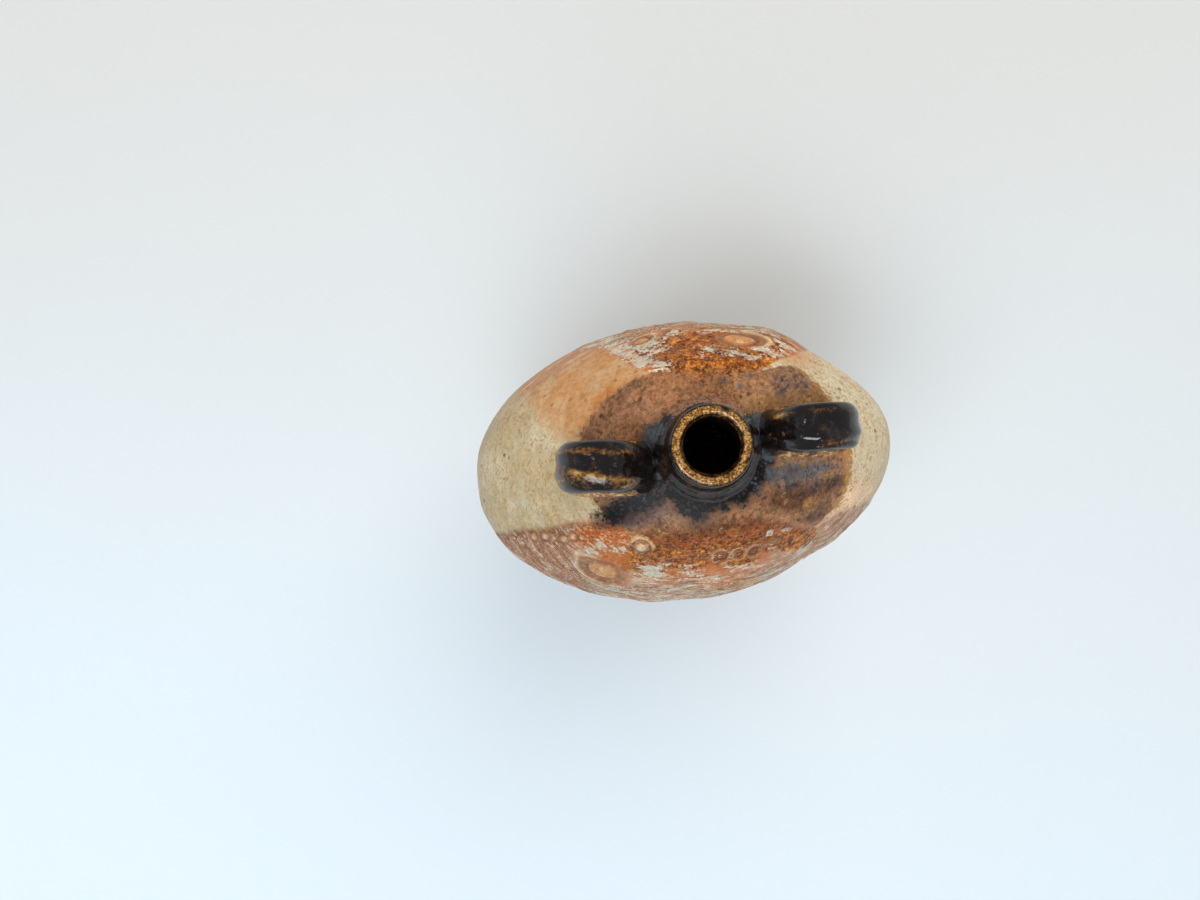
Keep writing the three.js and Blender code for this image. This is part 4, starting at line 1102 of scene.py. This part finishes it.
pts = np.concatenate([under, wallrows, lid])
nr = len(pts)
nrm = np.concatenate([grid_normals(under), N1[:J_BASE + 1], grid_normals(lid)])
q = torus_faces(nr, NU)[:(nr - 1) * NU]
poles = np.array([[ORIGIN_X, 0, under[0, 0, 2]], [ORIGIN_X, 0, BASE_T - 0.05]])
i = np.arange(NU)
ib = (i + 1) % NU
tris = np.concatenate([np.stack([np.full(NU, nr * NU), ib, i], axis=1),
                       np.stack([np.full(NU, nr * NU + 1), (nr - 1) * NU + i, (nr - 1) * NU + ib], axis=1)])


def disc_uv(xy, centre, radius, span):
    return np.asarray(centre) + (xy - mid_xy) / span * radius


span = np.abs(P1[J_BASE, :, :2] - mid_xy).max()
allp = np.concatenate([pts.reshape(-1, 3), poles])
nb = len(under)
quv = np.zeros((len(q), 4, 2))
row_of = np.repeat(np.arange(nr - 1), NU)
co = allp[q][..., :2]
quv[row_of < nb] = disc_uv(co[row_of < nb], (0.26, 0.30), 0.245, span)
quv[row_of >= nr - 4] = disc_uv(co[row_of >= nr - 4], (0.76, 0.30), 0.22, span)
wall = (row_of >= nb) & (row_of < nr - 4)
cols = np.tile(np.arange(NU), nr - 1)[wall]
zz = allp[q[wall]][..., 2]
halfrow = (cols >= HALF)
uu = np.stack([cols, cols + 1, cols + 1, cols], axis=1) - np.where(halfrow, HALF, 0)[:, None]
quv[wall, :, 0] = 0.004 + uu / HALF * 0.992
quv[wall, :, 1] = np.where(halfrow, 0.80, 0.62)[:, None] + (row_of[wall][:, None] - nb + np.array([0, 0, 1, 1])) / (nr - 4 - nb) * 0.16
tuv = np.concatenate([disc_uv(allp[tris[:NU]][..., :2], (0.26, 0.30), 0.245, span),
                      disc_uv(allp[tris[NU:]][..., :2], (0.76, 0.30), 0.22, span)])
make_piece("base_slab_fired", allp, q, quv.reshape(-1, 2), {},
           clay_material("bare_clay_fired", 2), "base_slab",
           np.concatenate([nrm.reshape(-1, 3), [[0, 0, -1], [0, 0, 1]]]), tris, tuv.reshape(-1, 2))


# ---------------------------------------------------------------- curves
def spline(points, n, closed=False):
    """Smooth line through points (centripetal), with n samples evenly spaced along it."""
    p = np.asarray(points, float)
    if closed:
        p = np.concatenate([p[-1:], p, p[:2]])
    else:
        p = np.concatenate([2 * p[:1] - p[1:2], p, 2 * p[-1:] - p[-2:-1]])
    out = []
    for a, b, c, d in zip(p[:-3], p[1:-2], p[2:-1], p[3:]):
        t0 = 0.0
        t1 = t0 + max(np.linalg.norm(b - a), 1e-6) ** 0.5
        t2 = t1 + max(np.linalg.norm(c - b), 1e-6) ** 0.5
        t3 = t2 + max(np.linalg.norm(d - c), 1e-6) ** 0.5
        t = np.linspace(t1, t2, 60, endpoint=False)[:, None]
        a1 = (t1 - t) / (t1 - t0) * a + (t - t0) / (t1 - t0) * b
        a2 = (t2 - t) / (t2 - t1) * b + (t - t1) / (t2 - t1) * c
        a3 = (t3 - t) / (t3 - t2) * c + (t - t2) / (t3 - t2) * d
        b1 = (t2 - t) / (t2 - t0) * a1 + (t - t0) / (t2 - t0) * a2
        b2 = (t3 - t) / (t3 - t1) * a2 + (t - t1) / (t3 - t1) * a3
        out.append((t2 - t) / (t2 - t1) * b1 + (t - t1) / (t2 - t1) * b2)
    line = np.concatenate(out + [p[-2][None]])
    s = np.concatenate([[0], np.cumsum(np.linalg.norm(np.diff(line, axis=0), axis=1))])
    at_s = np.linspace(0, s[-1], n, endpoint=not closed)
    return np.stack([np.interp(at_s, s, line[:, c]) for c in range(line.shape[1])], axis=1)


# ---------------------------------------------------------------- neck
NECK_OUT = [(14.4, 164.6), (14.2, 166), (13.4, 168), (12.6, 171), (12.1, 175), (12.0, 180), (12.35, 183.6), (13.0, 186),
            (13.4, 187.7), (13.1, 189), (12.3, 189.75), (11.2, 190), (10.2, 189.6), (9.45, 188.5), (9, 186.2), (8.9, 178)]
NECK_IN = [(9, 168), (9.4, 160), (9.5, 157.5), (11.9, 157.5), (12.5, 158.3), (12.5, 164.5), (14.3, 164.5)]
iron_neck = glaze_material("iron_glaze_neck", 0.42)
NN = 288
theta = np.arange(NN) / NN * 2 * math.pi
dense = spline(NECK_OUT, 118)
prof = np.concatenate([dense, NECK_IN])
R2, Z2 = prof[:, :1], prof[:, 1:]
cs, sn = np.cos(theta)[None], np.sin(theta)[None]
lively = smooth(165, 168, Z2)
bulge = lively * (0.16 * noise(cs * 1.3, sn * 1.3, Z2 / 7, 201) + 0.022 * np.sin(2 * math.pi * (Z2 / 2.9 + theta[None] / (2 * math.pi))) * smooth(187, 184, Z2)
                  + 0.05 * fbm(cs * 5, sn * 5, Z2 / 2.4, 2, 203))
is_in = (np.arange(len(prof)) >= 100)[:, None]
rad = R2 + np.where(is_in, 0.3, 1.0) * bulge
lean = NECK_LEAN * np.clip(Z2 - FLANGE_Z, 0, None) / (RIM_Z - FLANGE_Z)
dropz = 0.18 * noise(cs * 1.1 + 4, sn * 1.1, 0.2, 205) * smooth(180, 189, Z2)
pts = np.stack(np.broadcast_arrays(AX + lean + rad * cs, AY + rad * sn, np.minimum(Z2 + dropz, RIM_Z)), axis=-1)
nr = len(pts)
order = np.arange(len(prof))[:, None] + 0 * theta[None]
crest_row = int(np.argmax(dense[:, 1]))
lip = np.concatenate([[0], np.cumsum(np.linalg.norm(np.diff(prof, axis=0), axis=1))])[:, None]
lip = lip - lip[crest_row]                       # along the profile from the crest, outside negative
ragged = 0.5 * fbm(cs * 6, sn * 6, 0.3, 3, 209)
amber = smooth(-2.5, -0.5, lip + ragged) * smooth(2.5, 0.4, lip + ragged)
# painted shade: the gold is dimmed in noisy patches on the right and back of the rim, the side away from the window
amber = amber * (1 - 0.55 * smooth(0.1, 0.5, fbm(cs * 3 + 2, sn * 3, lip / 3, 3, 219)) * smooth(-0.2, 0.6, cs + 0.6 * sn))
inner_brown = smooth(1.4, 2.2, lip) * smooth(4.6, 3.2, lip)
fleck = 0.26 * smooth(0.05, 0.4, fbm(cs * 7, sn * 7, Z2 / 5, 3, 207)) * smooth(182, 176, Z2) * smooth(0.3, -0.8, cs)
thin = 0.20 + 0.22 * inner_brown + fleck - 0.14 * smooth(3.6, 5.6, lip) + 0.12 * bell(lip + 2.9, 0.9)
thin = thin + 0.0 * theta[None]
heights = np.linalg.norm(np.roll(pts, -1, axis=0) - pts, axis=-1).mean(axis=1)
uv = strip_uv(nr, NN, heights, [(0, 117, 0, NN, 0.004, 0.004, 0.996, 0.80), (117, nr, 0, NN, 0.004, 0.82, 0.996, 0.996)], None)
make_piece("neck_fired", pts, torus_faces(nr, NN), uv,
           {"thin": np.broadcast_to(thin, pts.shape[:2]).ravel(), "tan": np.zeros(nr * NN), "haze_and_sheen": np.zeros(nr * NN),
            "amber": np.broadcast_to(amber, pts.shape[:2]).ravel(),
            "satin": np.broadcast_to(smooth(-2.4, -3.6, lip) + 0 * theta[None], pts.shape[:2]).ravel()},
           iron_neck, "neck")

# ---------------------------------------------------------------- luting coil at the neck foot
ground = shoulder_z(AX + 17.6 * cs[0], AY + 17.6 * sn[0])[None]
COIL = [(13.0, 171.8), (12.95, 170.6), (13.75, 168.1), (14.6, 166.1), (14.85, 164.9), (14.9, 164.2), (16.2, 163.6), (18.3, 163.4),
        (18.6, 163.7), (17.7, 164.9), (16.4, 166.2), (15.1, 167.8), (14.2, 169.7), (13.5, 171.5)]
cp = spline(COIL, 72, closed=True)
CR, CZ = cp[:, :1], cp[:, 1:]
low_part = smooth(167.5, 164.0, CZ)
zz = CZ + low_part * (ground - 163.8)
lump = 0.22 * noise(cs * 2.4, sn * 2.4, 0.5, 211) + 0.14 * fbm(cs * 7, sn * 7, CZ / 3, 2, 213)
out_face = smooth(14.9, 15.6, CR - 0.0 * CZ)
rr = CR + 0.09 * out_face * np.sin(2 * math.pi * (CR + CZ) / 1.9 + 1.4 * noise(cs * 2, sn * 2, 1.0, 216)) + lump * out_face + low_part * out_face * 0.5 * noise(cs * 3.5, sn * 3.5, 2.2, 215)
lean = NECK_LEAN * np.clip(zz - FLANGE_Z, 0, None) / (RIM_Z - FLANGE_Z)
pts = np.stack(np.broadcast_arrays(AX + lean + rr * cs, AY + rr * sn, zz), axis=-1)
nr = len(pts)
if np.sum(np.cross(pts[:, 1] - pts[:, 0], np.roll(pts[:, 0], -1, axis=0) - pts[:, 0])[np.argmax(cp[:, 0])] * np.array([1, 0, 0])) < 0:
    pts = pts[::-1]
    CR, CZ = CR[::-1], CZ[::-1]
    low_part = low_part[::-1]
heights = np.linalg.norm(np.roll(pts, -1, axis=0) - pts, axis=-1).mean(axis=1)
uv = strip_uv(nr, NN, heights, [(0, nr, 0, NN, 0.004, 0.004, 0.996, 0.996)], None)
thin = 0.18 + 0.10 * bell(CR - 18.2, 0.8) * low_part + 0.20 * smooth(0.1, 0.45, fbm(cs * 6, sn * 6, CZ / 4, 3, 217)) * smooth(0.2, -0.8, cs)
make_piece("neck_luting_coil_fired", pts, torus_faces(nr, NN), uv,
           {"thin": np.broadcast_to(thin, pts.shape[:2]).ravel(), "tan": np.zeros(nr * NN),
            "haze_and_sheen": 0.8 * haze_and_sheen_at(pts[..., 0], pts[..., 1], pts[..., 2]).ravel(), "satin": np.full(nr * NN, 0.8),
            "earth": (smooth(0.45, 0.88, np.cos(theta - math.radians(82)))[None] * smooth(14.8, 16.4, CR)).ravel()},
           glaze_material("iron_glaze_coil", 0.38), "neck_luting_coil")


# ---------------------------------------------------------------- lugs and their pads
def lug(side_name, side, mid, y_off, yaw, width, inner, outer, path, gold):
    turn = math.radians(yaw)
    ct, st = math.cos(turn), math.sin(turn)

    def place(u, y, z):
        """Lug's own frame (distance from the neck axis, across, up) to the row frame."""
        lx = (u - mid) * side
        return np.stack(np.broadcast_arrays(AX + mid * side + lx * ct - y * st, AY + y_off + lx * st + y * ct, z), axis=-1)

    line = spline(path, 900)
    here = place(line[:, 0], 0 * line[:, 0], line[:, 1])
    above = line[:, 1] - shoulder_z(here[:, 0], here[:, 1])
    on = np.nonzero(above > -1.2)[0]
    line = line[on[0]:on[-1] + 1]
    NS, NC = 132, 96
    s = np.concatenate([[0], np.cumsum(np.linalg.norm(np.diff(line, axis=0), axis=1))])
    t = np.linspace(0, 1, NS)
    mid_line = np.stack([np.interp(t * s[-1], s, line[:, c]) for c in (0, 1)], axis=1)
    tan_v = np.gradient(mid_line, axis=0)
    tan_v /= np.linalg.norm(tan_v, axis=1, keepdims=True)
    out_v = np.stack([-tan_v[:, 1], tan_v[:, 0]], axis=1)
    here = place(mid_line[:, 0], 0 * t, mid_line[:, 1])
    above = (mid_line[:, 1] - shoulder_z(here[:, 0], here[:, 1]))[:, None]
    w = np.arange(NC) / NC * 2 * math.pi
    cx = power_of(np.cos(w), 2.45)[None]
    cy = power_of(np.sin(w), 2.70)[None]
    flare = smooth(8.5, 0.5, above)
    T = t[:, None]
    taper = 1 - 0.26 * smooth(0.60, 0.84, T) - 0.14 * smooth(0.34, 0.14, T)
    half_w = (width / 2) * taper * (1.05 + 0.22 * flare + 0.03 * noise(T * 5, 0.3, 0.7, 221 + (side > 0)))
    half_t = 4.0 * (1 + 0.14 * flare)
    topside = smooth(0.1, 0.75, cy) * smooth(3, 12, above)
    if side < 0:
        drift = cx + 0.10 * np.sin(T * 7 + 0.5)
        pressed = 0.22 * bell(drift - 0.50, 0.17) + 0.32 * bell(drift + 0.42, 0.26) - 0.30 * bell(drift - 0.08, 0.26)
    else:
        drift = cx + 0.12 * np.sin(T * 6 - 0.8)
        pressed = 0.16 * bell(drift - 0.62, 0.18) + 0.34 * bell(drift + 0.30, 0.18) - 0.24 * bell(drift - 0.16, 0.26) - 0.26 * bell(drift + 0.64, 0.13)
    uneven = 0.20 * noise(T * 6, cx * 1.2, cy * 1.2, 223 + (side > 0)) + 0.07 * fbm(T * 22, cx * 4, cy * 4, 2, 225)
    oy = cx * (half_w + uneven)
    on_ = cy * (half_t + uneven) + topside * pressed
    uu = mid_line[:, :1] + out_v[:, :1] * on_
    zz = mid_line[:, 1:] + out_v[:, 1:] * on_
    pts = place(uu, oy + 0 * uu, zz)
    if side < 0:
        pts = pts[:, ::-1]
        cx, cy, oy, uneven, topside, pressed = (np.broadcast_to(v, (NS, NC))[:, ::-1] for v in (cx, cy, oy, uneven, topside, pressed))
    else:
        cx, cy, oy, uneven, topside, pressed = (np.broadcast_to(v, (NS, NC)) for v in (cx, cy, oy, uneven, topside, pressed))
    # walk the section so that the faces point out
    sample = np.cross(pts[NS // 2, 1] - pts[NS // 2, 0], pts[NS // 2 + 1, 0] - pts[NS // 2, 0])
    outward = pts[NS // 2, 0] - pts[NS // 2].mean(axis=0)
    if sample @ outward < 0:
        pts, cx, cy = pts[:, ::-1], cx[:, ::-1], cy[:, ::-1]
        topside, pressed = topside[:, ::-1], pressed[:, ::-1]
    centres = np.stack([pts[0].mean(axis=0), pts[-1].mean(axis=0)])
    verts = np.concatenate([pts.reshape(-1, 3), centres])
    q = torus_faces(NS, NC)[:(NS - 1) * NC]
    i = np.arange(NC)
    ib = (i + 1) % NC
    tris = np.concatenate([np.stack([np.full(NC, NS * NC), ib, i], axis=1),
                           np.stack([np.full(NC, NS * NC + 1), (NS - 1) * NC + i, (NS - 1) * NC + ib], axis=1)])
    seam = int(np.argmin(np.where(np.abs(cx[NS // 2]) < 0.2, cy[NS // 2], 9)))
    rows = np.linalg.norm(np.roll(pts, -1, axis=0) - pts, axis=-1).mean(axis=1)
    span = np.concatenate([[0], np.cumsum(rows[:NS - 1])])
    span /= span[-1]
    col_i = (np.arange(NC)[None, :] - seam) % NC
    uv = np.zeros((NS - 1, NC, 4, 2))
    for c, (dj, di) in enumerate(((0, 0), (0, 1), (1, 1), (1, 0))):
        uv[..., c, 0] = 0.006 + 0.988 * span[np.arange(NS - 1) + dj][:, None]
        uv[..., c, 1] = 0.006 + 0.90 * (col_i + di) / NC
    tuv = np.zeros((len(tris), 3, 2))
    for e, (cu, base) in enumerate(((0.06, 0), (0.16, NC))):
        ang = np.arange(NC) / NC * 2 * math.pi
        a2 = (np.arange(NC) + 1) / NC * 2 * math.pi
        tuv[base:base + NC, 0] = (cu, 0.955)
        pair = (a2, ang) if e == 0 else (ang, a2)
        for c, a in enumerate(pair):
            tuv[base:base + NC, c + 1, 0] = cu + 0.035 * np.cos(a)
            tuv[base:base + NC, c + 1, 1] = 0.955 + 0.035 * np.sin(a)
    over = smooth(3, 9, np.broadcast_to(above, (NS, NC)))
    TT = np.broadcast_to(T, (NS, NC))
    patch = fbm(TT * 6, cx * 2.5, cy * 2.5, 3, 227 + (side > 0))
    thin = gold(TT, cx, cy, topside, patch) * over + 0.13
    foot = smooth(2.6, 0.4, np.broadcast_to(above, (NS, NC)))
    thin = thin + 0.30 * foot * smooth(-0.1, 0.4, patch)
    attrs = {"thin": np.concatenate([thin.ravel(), [0.1, 0.1]]), "tan": np.zeros(NS * NC + 2),
             "haze_and_sheen": np.concatenate([0.75 * haze_and_sheen_at(pts[..., 0], pts[..., 1], pts[..., 2]).ravel() * smooth(8, 3, np.broadcast_to(above, (NS, NC))).ravel(), [0, 0]])}
    make_piece(side_name + "_lug_fired", verts, q, uv.reshape(-1, 2), attrs, glaze_material("iron_glaze_" + side_name + "_lug"),
               side_name + "_lug", None, tris, tuv.reshape(-1, 2))

    # pad: clay smeared out round the two roots
    NP, NR = 192, 40
    w = np.arange(NP) / NP * 2 * math.pi
    cu, hu, hw = (inner + outer) / 2, (outer - inner) / 2, (width + 4.4) / 2
    ragged = 1 + 0.025 * noise(np.cos(w) * 4, np.sin(w) * 4, 0.4, 231 + (side > 0))
    ox, oy = hu * power_of(np.cos(w), 3.2) * ragged, hw * power_of(np.sin(w), 3.2) * ragged
    rho = np.concatenate([np.linspace(0.06, 0.70, 14), np.linspace(0.73, 1.0, 26)])
    tops, tans, thins = [], [], []
    roots = [mid_line[0, 0], mid_line[-1, 0]]
    for r in rho:
        u, y = cu + ox * r, oy * r
        xy = place(u, y, 0 * u)
        zs = shoulder_z(xy[:, 0], xy[:, 1])
        edge_n = fbm(u / 5, y / 5, 1.7, 3, 233 + (side > 0))
        lift = 2.7 * smooth(1.0, 0.66, r + 0.05 * edge_n) - 0.35 * smooth(0.93, 1.0, r)
        lift = lift + 0.55 * bell(r - 0.86, 0.05) * (0.6 + edge_n) + 0.22 * edge_n * smooth(1.0, 0.9, r)
        for ru in roots:
            away = np.hypot(np.maximum(np.abs(u - ru) - 4.2, 0), np.maximum(np.abs(y) - width / 2, 0))
            lift = lift + 1.5 * smooth(4.0, 0.0, away) * smooth(1.0, 0.85, r)
        tops.append(np.column_stack([xy[:, :2], zs + lift]))
        flank = smooth(0.55, 0.9, np.abs(np.sin(w)))
        tans.append(flank * smooth(0.70, 0.84, r) * smooth(1.0, 0.94, r) * smooth(-0.25, 0.25, edge_n + 0.24))
        thins.append(0.14 + 0.34 * smooth(0.72, 0.92, r) * smooth(-0.2, 0.35, edge_n))
    tops = np.array(tops)[::-1]
    under = []
    for r in (0.97, 0.5, 0.06):
        u, y = cu + ox * r, oy * r
        xy = place(u, y, 0 * u)
        under.append(np.column_stack([xy[:, :2], shoulder_z(xy[:, 0], xy[:, 1]) - 0.8]))
    pts = np.concatenate([np.array(under)[::-1], tops])
    if side < 0:
        pass
    nr = len(pts)
    sample = np.cross(pts[-2, 1] - pts[-2, 0], pts[-1, 0] - pts[-2, 0])
    flip = sample[2] < 0
    verts = np.concatenate([pts.reshape(-1, 3), [pts[0].mean(axis=0)], [pts[-1].mean(axis=0)]])
    q = torus_faces(nr, NP)[:(nr - 1) * NP]
    i = np.arange(NP)
    ib = (i + 1) % NP
    tris = np.concatenate([np.stack([np.full(NP, nr * NP), ib, i], axis=1),
                           np.stack([np.full(NP, nr * NP + 1), (nr - 1) * NP + i, (nr - 1) * NP + ib], axis=1)])
    if flip:
        q, tris = q[:, ::-1], tris[:, ::-1]
    local = np.concatenate([np.repeat([0.06, 0.5, 0.97], NP), np.repeat(rho[::-1], NP), [0, 0]])
    ang = np.concatenate([np.tile(w, nr), [0, 0]])
    shape_u = np.concatenate([np.tile(ox / hu, nr), [0, 0]]) * local
    shape_v = np.concatenate([np.tile(oy / hw, nr), [0, 0]]) * local
    is_top = np.concatenate([np.zeros(3 * NP, bool), np.ones(len(rho) * NP, bool), [False, True]])

    def pad_uv(faces):
        top = is_top[faces].all(axis=1)
        out = np.zeros(faces.shape + (2,))
        out[..., 0] = 0.5 + 0.47 * shape_u[faces]
        out[..., 1] = np.where(top[:, None], 0.36 + 0.33 * shape_v[faces], 0.86 + 0.11 * shape_v[faces])
        return out.reshape(-1, 2)

    thin = np.concatenate([np.full(3 * NP, 0.12), np.array(thins)[::-1].ravel(), [0.12, 0.14]])
    tan = np.concatenate([np.zeros(3 * NP), np.array(tans)[::-1].ravel(), [0, 0]])
    make_piece(side_name + "_lug_pad_fired", verts, q, pad_uv(q), {"thin": thin, "tan": tan, "haze_and_sheen": 0.9 * haze_and_sheen_at(verts[:, 0], verts[:, 1], verts[:, 2])},
               glaze_material("iron_glaze_" + side_name + "_pad"), side_name + "_lug_pad", None, tris, pad_uv(tris))


def left_gold(t, cx, cy, top, patch):
    drift = cx + 0.08 * np.sin(t * 7 + 0.5) + 0.18 * patch
    line = 0.42 * bell(drift - 0.54, 0.13) * smooth(0.20, 0.30, t) * smooth(0.88, 0.74, t) * smooth(-0.40, -0.05, patch + 0.1)
    upper = lerp(-0.34, -0.02, smooth(0.34, 0.62, t))
    wide = 0.52 * smooth(-0.94, -0.70, drift) * smooth(upper + 0.12, upper - 0.16, drift) * smooth(0.20, 0.32, t) * smooth(0.97, 0.86, t)
    cross = 0.26 * bell(t - 0.44 - 0.05 * cx, 0.016) * smooth(0.6, 0.2, np.abs(cx))
    return top * (line + wide * (0.92 + 1.3 * patch) + cross) + 0.16 * top * smooth(0.25, 0.6, patch)


def right_gold(t, cx, cy, top, patch):
    drift = cx + 0.12 * np.sin(t * 6 - 0.8) + 0.22 * patch
    edge = 0.30 * bell(drift - 0.80, 0.14) * smooth(0.0, 0.3, patch + 0.1) + 0.40 * bell(drift + 0.62, 0.14) * smooth(0.36, 0.46, t) * smooth(0.80, 0.66, t)
    inner_end = 0.34 * smooth(0.34, 0.20, t) * smooth(-0.05, 0.3, patch)
    return top * edge * (1 + 1.0 * patch) + inner_end + 0.14 * top * smooth(0.3, 0.6, patch)


lug("left", -1, 35.5, -1.5, -7, 16.4, 18.3, 53.4,
    [(22.2, 150), (22.8, 163), (26.2, 174), (33.4, 180.1), (41.6, 179.4), (47.4, 173.2), (49, 162), (48.4, 140)], left_gold)
lug("right", 1, 34.8, 1.5, -4, 14.8, 18.3, 51.8,
    [(22.4, 150), (22.8, 163), (25.6, 173.6), (32, 179.6), (40.4, 179), (46, 173), (47.6, 162), (47, 140)], right_gold)

# ---------------------------------------------------------------- inner seam coils keep their shape, in finger-smoothed clay
coil_clay = clay_material("luting_clay_smoothed", -6)
for name in ("belly_seam_coil", "base_seam_coil"):
    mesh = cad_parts[name].data
    mesh.materials.clear()
    mesh.materials.append(coil_clay)

# ---------------------------------------------------------------- studio
floor_mesh = bpy.data.meshes.new("floor")
rings_n, seg = 40, 96
rad = np.concatenate([[0], np.geomspace(0.05, 3.2, rings_n)])
fv = [(0, 0, 0)] + [(r * math.cos(a), r * math.sin(a), 0) for r in rad[1:] for a in np.arange(seg) / seg * 2 * math.pi]
ff = [(0, 1 + i, 1 + (i + 1) % seg) for i in range(seg)]
for r in range(rings_n - 1):
    for i in range(seg):
        a, b = 1 + r * seg + i, 1 + r * seg + (i + 1) % seg
        ff.append((a, a + seg, b + seg, b))
floor_mesh.from_pydata(fv, [], ff)
ft = Tree("pale_floor")
paper = ft.noise(900, 3, 0.6)
soft = ft.noise(2.2, 2, 0.5)
reach = ft.t.nodes.new("ShaderNodeSeparateXYZ")
ft.put(reach.inputs[0], ft.obj)
# painted light: the floor colour is cooler and brighter towards the front and left, greyer and warmer towards the back,
# standing for the window light
floor_painted_light = ft.mix(ft.step(-0.30, 0.30, ft.add(reach.outputs["Y"], ft.mul(reach.outputs["X"], 0.25), ft.mul(ft.add(soft, -0.5), 0.3))),
            (0.74, 0.83, 0.90), (0.745, 0.74, 0.72))
floor_mesh.materials.append(ft.done(floor_painted_light, 0.75, ft.bump(paper, 0.00006, 0.4)))
floor = bpy.data.objects.new("floor", floor_mesh)
bpy.context.scene.collection.objects.link(floor)

world = bpy.data.worlds.new("studio")
bpy.context.scene.world = world
world.use_nodes = True
bg = world.node_tree.nodes["Background"]
wt = world.node_tree
sky_dir = wt.nodes.new("ShaderNodeTexCoord").outputs["Generated"]
split = wt.nodes.new("ShaderNodeSeparateXYZ")
wt.links.new(sky_dir, split.inputs[0])
shade = wt.nodes.new("ShaderNodeValToRGB")
shade.color_ramp.elements[0].position, shade.color_ramp.elements[0].color = 0.02, (0.36, 0.375, 0.39, 1)
shade.color_ramp.elements[1].position, shade.color_ramp.elements[1].color = 0.80, (0.29, 0.30, 0.31, 1)
wt.links.new(split.outputs["Z"], shade.inputs[0])
wt.links.new(shade.outputs[0], bg.inputs["Color"])
bg.inputs["Strength"].default_value = 1.0


def area(name, place, aim, size, size_y, power, colour, glossy=True):
    light = bpy.data.lights.new(name, "AREA")
    light.shape, light.size, light.size_y, light.energy, light.color = "RECTANGLE", size, size_y, power, colour
    obj = bpy.data.objects.new(name, light)
    bpy.context.scene.collection.objects.link(obj)
    d = np.asarray(place, float) - np.asarray(aim, float)
    z = d / np.linalg.norm(d)
    x = np.cross((0, 0, 1), z)
    x /= np.linalg.norm(x)
    y = np.cross(z, x)
    m = Matrix(((x[0], y[0], z[0], place[0]), (x[1], y[1], z[1], place[1]), (x[2], y[2], z[2], place[2]), (0, 0, 0, 1)))
    obj.matrix_world = m
    obj.visible_glossy = glossy
    return obj


area("sky", (-0.90, -1.90, 2.00), (0, 0, 0.05), 3.6, 2.6, 32, (0.77, 0.89, 1.0), False)
area("window", (-0.50, -0.71, 1.51), (0, 0, 0.17), 1.30, 0.50, 9, (0.90, 0.96, 1.0))
glint = area("glint", (-0.51, -0.724, 1.537), (0, 0, 0.17), 1.32, 0.52, 10, (0.90, 0.96, 1.0))
glint.visible_diffuse = False
area("overhead", (-0.25, -0.45, 1.90), (0, 0, 0.05), 2.4, 2.4, 9, (0.92, 0.97, 1.0), False)
area("room", (1.3, 1.8, 2.1), (0, 0, 0.05), 3.0, 3.0, 46, (1.0, 0.92, 0.80), False)

# ---------------------------------------------------------------- camera: looking down, a little off the axis
RIGHT = (0.98963484, -0.14006555, -0.03169417)
UP = (0.14147000, 0.98880032, 0.04754125)
BACK = (0.02468031, -0.05153225, 0.99836632)
EYE = (-0.0217766, -0.0113665, 0.4878026)
camera = bpy.data.cameras.new("camera")
camera.sensor_fit, camera.sensor_width, camera.lens = "HORIZONTAL", 36, 28.35
camera.clip_start, camera.clip_end = 0.01, 50
cam = bpy.data.objects.new("camera", camera)
bpy.context.scene.collection.objects.link(cam)
cam.matrix_world = Matrix([(RIGHT[i], UP[i], BACK[i], EYE[i]) for i in range(3)] + [(0, 0, 0, 1)])
bpy.context.scene.camera = cam
bpy.context.scene.view_settings.view_transform = "Standard"
bpy.context.scene.view_settings.look = "None"
